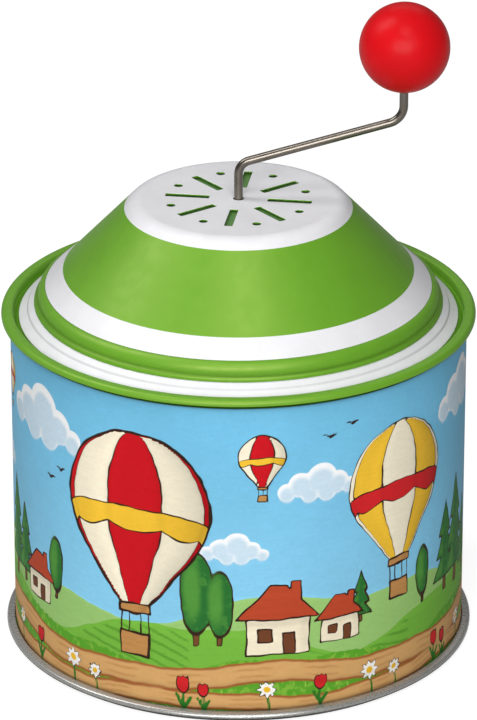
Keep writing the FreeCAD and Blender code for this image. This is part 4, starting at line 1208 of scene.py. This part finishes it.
class MUSICTIN_OT_crank(bpy.types.Operator):
    """Bent wire: a circle carried along a path with two round bends in one plane"""
    bl_idname = "music_tin.crank"
    bl_label = "Crank Wire"

    def execute(self, context):
        c = millimetres(context.scene.music_tin_crank)
        upper = c.elbow + c.throw * math.tan(c.arm_slope)
        end_round = 0.18
        path = eased(rounded_path((0, c.foot), (0, c.elbow, c.lower_bend), (c.throw, upper, c.upper_bend),
                                  (c.throw, c.tip), steps=26))
        run = np.gradient(path, axis=0)
        run /= np.linalg.norm(run, axis=1)[:, None]
        angle = whole_round(32)
        offset = c.wire_radius * np.cos(angle)
        x = path[:, :1] + run[:, 1:] * offset
        z = path[:, 1:] - run[:, :1] * offset
        y = np.broadcast_to(c.wire_radius * np.sin(angle), x.shape)
        tube = np.stack([x, y, z], -1)
        ends = []
        for which, way in ((0, -1), (-1, 1)):
            middle = np.array([path[which, 0], 0, path[which, 1]])
            ring = tube[which] - middle
            ends.append([middle + ring * share for share in (0.95, 0.78, 0.0)])
            tube[which] = middle + ring - np.array([0, 0, way * end_round])
        rows = np.concatenate([np.stack(ends[0][::-1]), tube, np.stack(ends[1])])
        mesh = welded(mesh_of("crank_wire", rows.reshape(-1, 3), grid_faces(*rows.shape[:2], False, True)))
        finish = self.drawn_wire(context.scene.music_tin_colours)
        add_piece("crank_wire", mesh, [finish], "crank", "crank", sharp=40)
        return {"FINISHED"}

    @staticmethod
    def drawn_wire(colours):
        """Polished wire: fine specks and faint clouds that break up its streaks of light."""
        finish = Finish("crank_steel", Metallic=1.0)
        clouds = finish.noise(260, 3)
        specks = finish.noise(3200, 3)
        shade = finish.vary(linear(colours.wire), clouds, 0.86, 1.04)
        finish.set("Base Color", finish.vary(shade, specks, 0.95, 1.03))
        finish.rough(clouds, 0.24, 0.34)
        finish.bump(specks, 0.002)
        return finish.material


class MUSICTIN_OT_ball(bpy.types.Operator):
    """Ball: a circle's arc and the section of its blind bore, turned about the ball's axis"""
    bl_idname = "music_tin.ball"
    bl_label = "Red Ball"

    def execute(self, context):
        c = millimetres(context.scene.music_tin_crank)
        bore_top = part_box("knob_sleeve")[1].z / MM + FIT_GAP
        mouth = math.degrees(math.acos(c.bore_radius / c.ball_radius))
        low = c.ball_height - math.sqrt(c.ball_radius ** 2 - c.bore_radius ** 2)
        arc = arc_path((0, c.ball_height), c.ball_radius, -mouth, 90, 72)[3:]
        bore = rounded_path((0, bore_top), (c.bore_radius, bore_top), (c.bore_radius, low, 0.22), arc[0])
        path = np.concatenate([bore[:-1], arc])
        mesh = welded(turned_mesh("red_ball", path, whole_round(128), c.throw, False))
        finish = red_lacquer(context.scene.music_tin_colours, "red_lacquer")
        add_piece("red_ball", mesh, [finish], "knob", "knob", sharp=60)
        return {"FINISHED"}


class MUSICTIN_OT_movement(bpy.types.Operator):
    """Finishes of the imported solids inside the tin, which keep their shapes"""
    bl_idname = "music_tin.movement"
    bl_label = "Movement"

    def execute(self, context):
        colours = context.scene.music_tin_colours
        finishes = {
            "dish_lacquer": satin_lacquer("dish_lacquer", colours.dish, PLAIN_SHEEN, 0.3),
            "screw_steel": plain_metal(colours.steel, "screw_steel", 0.3, 1400, depth=0.001),
            "bracket_steel": plain_metal(colours.steel, "bracket_steel", 0.36, 260, (8, 1, 8)),
            "comb_steel": plain_metal(colours.steel, "comb_steel", 0.3, 260, (9, 9, 1)),
            "cast_zinc": plain_metal(colours.zinc, "cast_zinc", 0.48, 700, depth=0.015),
            "brass": plain_metal(colours.brass, "brass", 0.27, 300, (1, 9, 9)),
            "white_nylon": moulded_nylon(colours, "white_nylon"),
        }
        for row in frame["record"]["subparts"]:
            finish = finishes.get(row["material_slot"])
            if finish is None:
                continue
            solid = frame["nodes"][row["node"]]
            solid.data.materials.clear()
            solid.data.materials.append(finish)
        return {"FINISHED"}


def lamp(name, azimuth, elevation, wide, tall, power):
    """Soft rectangular lamp that faces the tin, at angles in degrees from the front and from the floor."""
    data = bpy.data.lights.new(name, "AREA")
    data.shape = "RECTANGLE"
    data.size = wide
    data.size_y = tall
    data.energy = power
    thing = bpy.data.objects.new(name, data)
    bpy.context.scene.collection.objects.link(thing)
    azimuth, elevation = math.radians(azimuth), math.radians(elevation)
    flat = math.cos(elevation)
    way = Vector((math.sin(azimuth) * flat, -math.cos(azimuth) * flat, math.sin(elevation)))
    thing.location = Vector((0, 0, LAMP_AIM)) + way * LAMP_BACK
    thing.rotation_euler = way.to_track_quat("Z", "Y").to_euler()


def floor_finish(colour):
    """Pale floor: it scatters light, and shows the camera, and in part reflections, some light of its own."""
    finish = Finish("floor_paper", Roughness=0.9, Specular_IOR_Level=0.0)
    finish.set("Base Color", finish.vary(linear(colour), finish.noise(6, 2), 0.99, 1.0))
    path = finish.node("ShaderNodeLightPath").outputs
    mirrored = finish.calc("MAXIMUM", path["Is Glossy Ray"], path["Is Transmission Ray"])
    seen_level, mirrored_level = 0.82, 0.25
    seen = finish.calc("MULTIPLY", path["Is Camera Ray"], seen_level)
    strength = finish.calc("ADD", seen, finish.calc("MULTIPLY", mirrored, mirrored_level))
    glow = finish.node("ShaderNodeEmission", {"Color": (1, 1, 1, 1), "Strength": strength})
    both = finish.node("ShaderNodeAddShader", {0: finish.shader.outputs[0], 1: glow.outputs[0]})
    finish.feed(finish.tree.nodes["Material Output"].inputs["Surface"], both.outputs[0])
    return finish.material


def room_world(room_light):
    """Room with an even, weak light: white where the camera looks past the floor, and grey in reflections."""
    world = bpy.data.worlds.new("room")
    world.use_nodes = True
    nodes, links = world.node_tree.nodes, world.node_tree.links
    path = nodes.new("ShaderNodeLightPath").outputs
    strength = room_light
    for ray, level in (("Is Glossy Ray", 0.12), ("Is Transmission Ray", 0.12), ("Is Camera Ray", 0.78)):
        add = nodes.new("ShaderNodeMath")
        add.operation = "MULTIPLY_ADD"
        links.new(path[ray], add.inputs[0])
        add.inputs[1].default_value = level
        if strength is room_light:
            add.inputs[2].default_value = room_light
        else:
            links.new(strength, add.inputs[2])
        strength = add.outputs[0]
    light = nodes["Background"].inputs
    light["Color"].default_value = (1, 1, 1, 1)
    links.new(strength, light["Strength"])
    return world


class MUSICTIN_OT_stage(bpy.types.Operator):
    """Camera, lamps, room light and a pale round floor"""
    bl_idname = "music_tin.stage"
    bl_label = "Stage"

    def execute(self, context):
        scene = context.scene
        settings = scene.music_tin_stage
        data = bpy.data.cameras.new("view")
        data.lens = settings.lens
        data.sensor_width = 36
        data.clip_start = 0.01
        camera = bpy.data.objects.new("view", data)
        scene.collection.objects.link(camera)
        camera.location = (0, -settings.camera_back, settings.camera_height)
        aim = Vector((0, 0, settings.aim_height)) - camera.location
        camera.rotation_euler = aim.to_track_quat("-Z", "Y").to_euler()
        scene.camera = camera
        scene.view_settings.view_transform = "Standard"
        lamp("key_lamp", -5, 24, 0.8, 0.45, settings.key_power)
        lamp("top_lamp", 6, 62, 0.28, 0.28, settings.top_power)
        lamp("right_lamp", 26, 36, 0.15, 0.5, settings.right_power)
        lamp("side_lamp", -101, 54, 0.35, 0.7, settings.side_power)
        lamp("back_lamp", 172, 42, 0.7, 0.35, settings.back_power)
        scene.world = room_world(settings.room_light)
        radii = np.array([0.0, 0.4, 1.0, 3.0, 12.0]) / MM
        path = np.stack([radii, np.zeros(len(radii))], 1)[::-1]
        mesh = welded(turned_mesh("floor", path, whole_round(96), 0.0, False))
        mesh.materials.append(floor_finish(settings.floor))
        floor = bpy.data.objects.new("floor", mesh)
        scene.collection.objects.link(floor)
        return {"FINISHED"}


OPERATORS = (
    MUSICTIN_OT_stage, MUSICTIN_OT_body, MUSICTIN_OT_bottom, MUSICTIN_OT_ring, MUSICTIN_OT_lid,
    MUSICTIN_OT_crank, MUSICTIN_OT_ball, MUSICTIN_OT_movement,
)

GROUPS = {
    "music_tin_sizes": TinSizes,
    "music_tin_lid": LidSizes,
    "music_tin_crank": CrankSizes,
    "music_tin_colours": FinishColours,
    "music_tin_inks": PictureColours,
    "music_tin_stage": StageSettings,
}


class MUSICTIN_PT_panel(bpy.types.Panel):
    """Sizes, colours and the steps that build the tin"""
    bl_idname = "MUSICTIN_PT_panel"
    bl_label = "Music Tin"
    bl_space_type = "VIEW_3D"
    bl_region_type = "UI"
    bl_category = "Music Tin"

    def draw(self, context):
        for step in OPERATORS:
            self.layout.operator(step.bl_idname)
        for name in GROUPS:
            group = getattr(context.scene, name)
            column = self.layout.box().column()
            for field in group.__annotations__:
                column.prop(group, field, text=field.replace("_", " ").capitalize())


def register():
    """Make the property groups, the operators and the panel known, and give each scene its properties."""
    for group in GROUPS.values():
        bpy.utils.register_class(group)
    for step in (*OPERATORS, MUSICTIN_PT_panel):
        bpy.utils.register_class(step)
    for name, group in GROUPS.items():
        setattr(bpy.types.Scene, name, PointerProperty(type=group))


def unregister():
    """Undo register, in reverse order."""
    for name in GROUPS:
        delattr(bpy.types.Scene, name)
    for step in (MUSICTIN_PT_panel, *reversed(OPERATORS)):
        bpy.utils.unregister_class(step)
    for group in reversed(list(GROUPS.values())):
        bpy.utils.unregister_class(group)


def main():
    """Build the stage and every piece."""
    register()
    for step in OPERATORS:
        getattr(bpy.ops.music_tin, step.bl_idname.split(".")[1])()


if __name__ == "__main__":
    main()
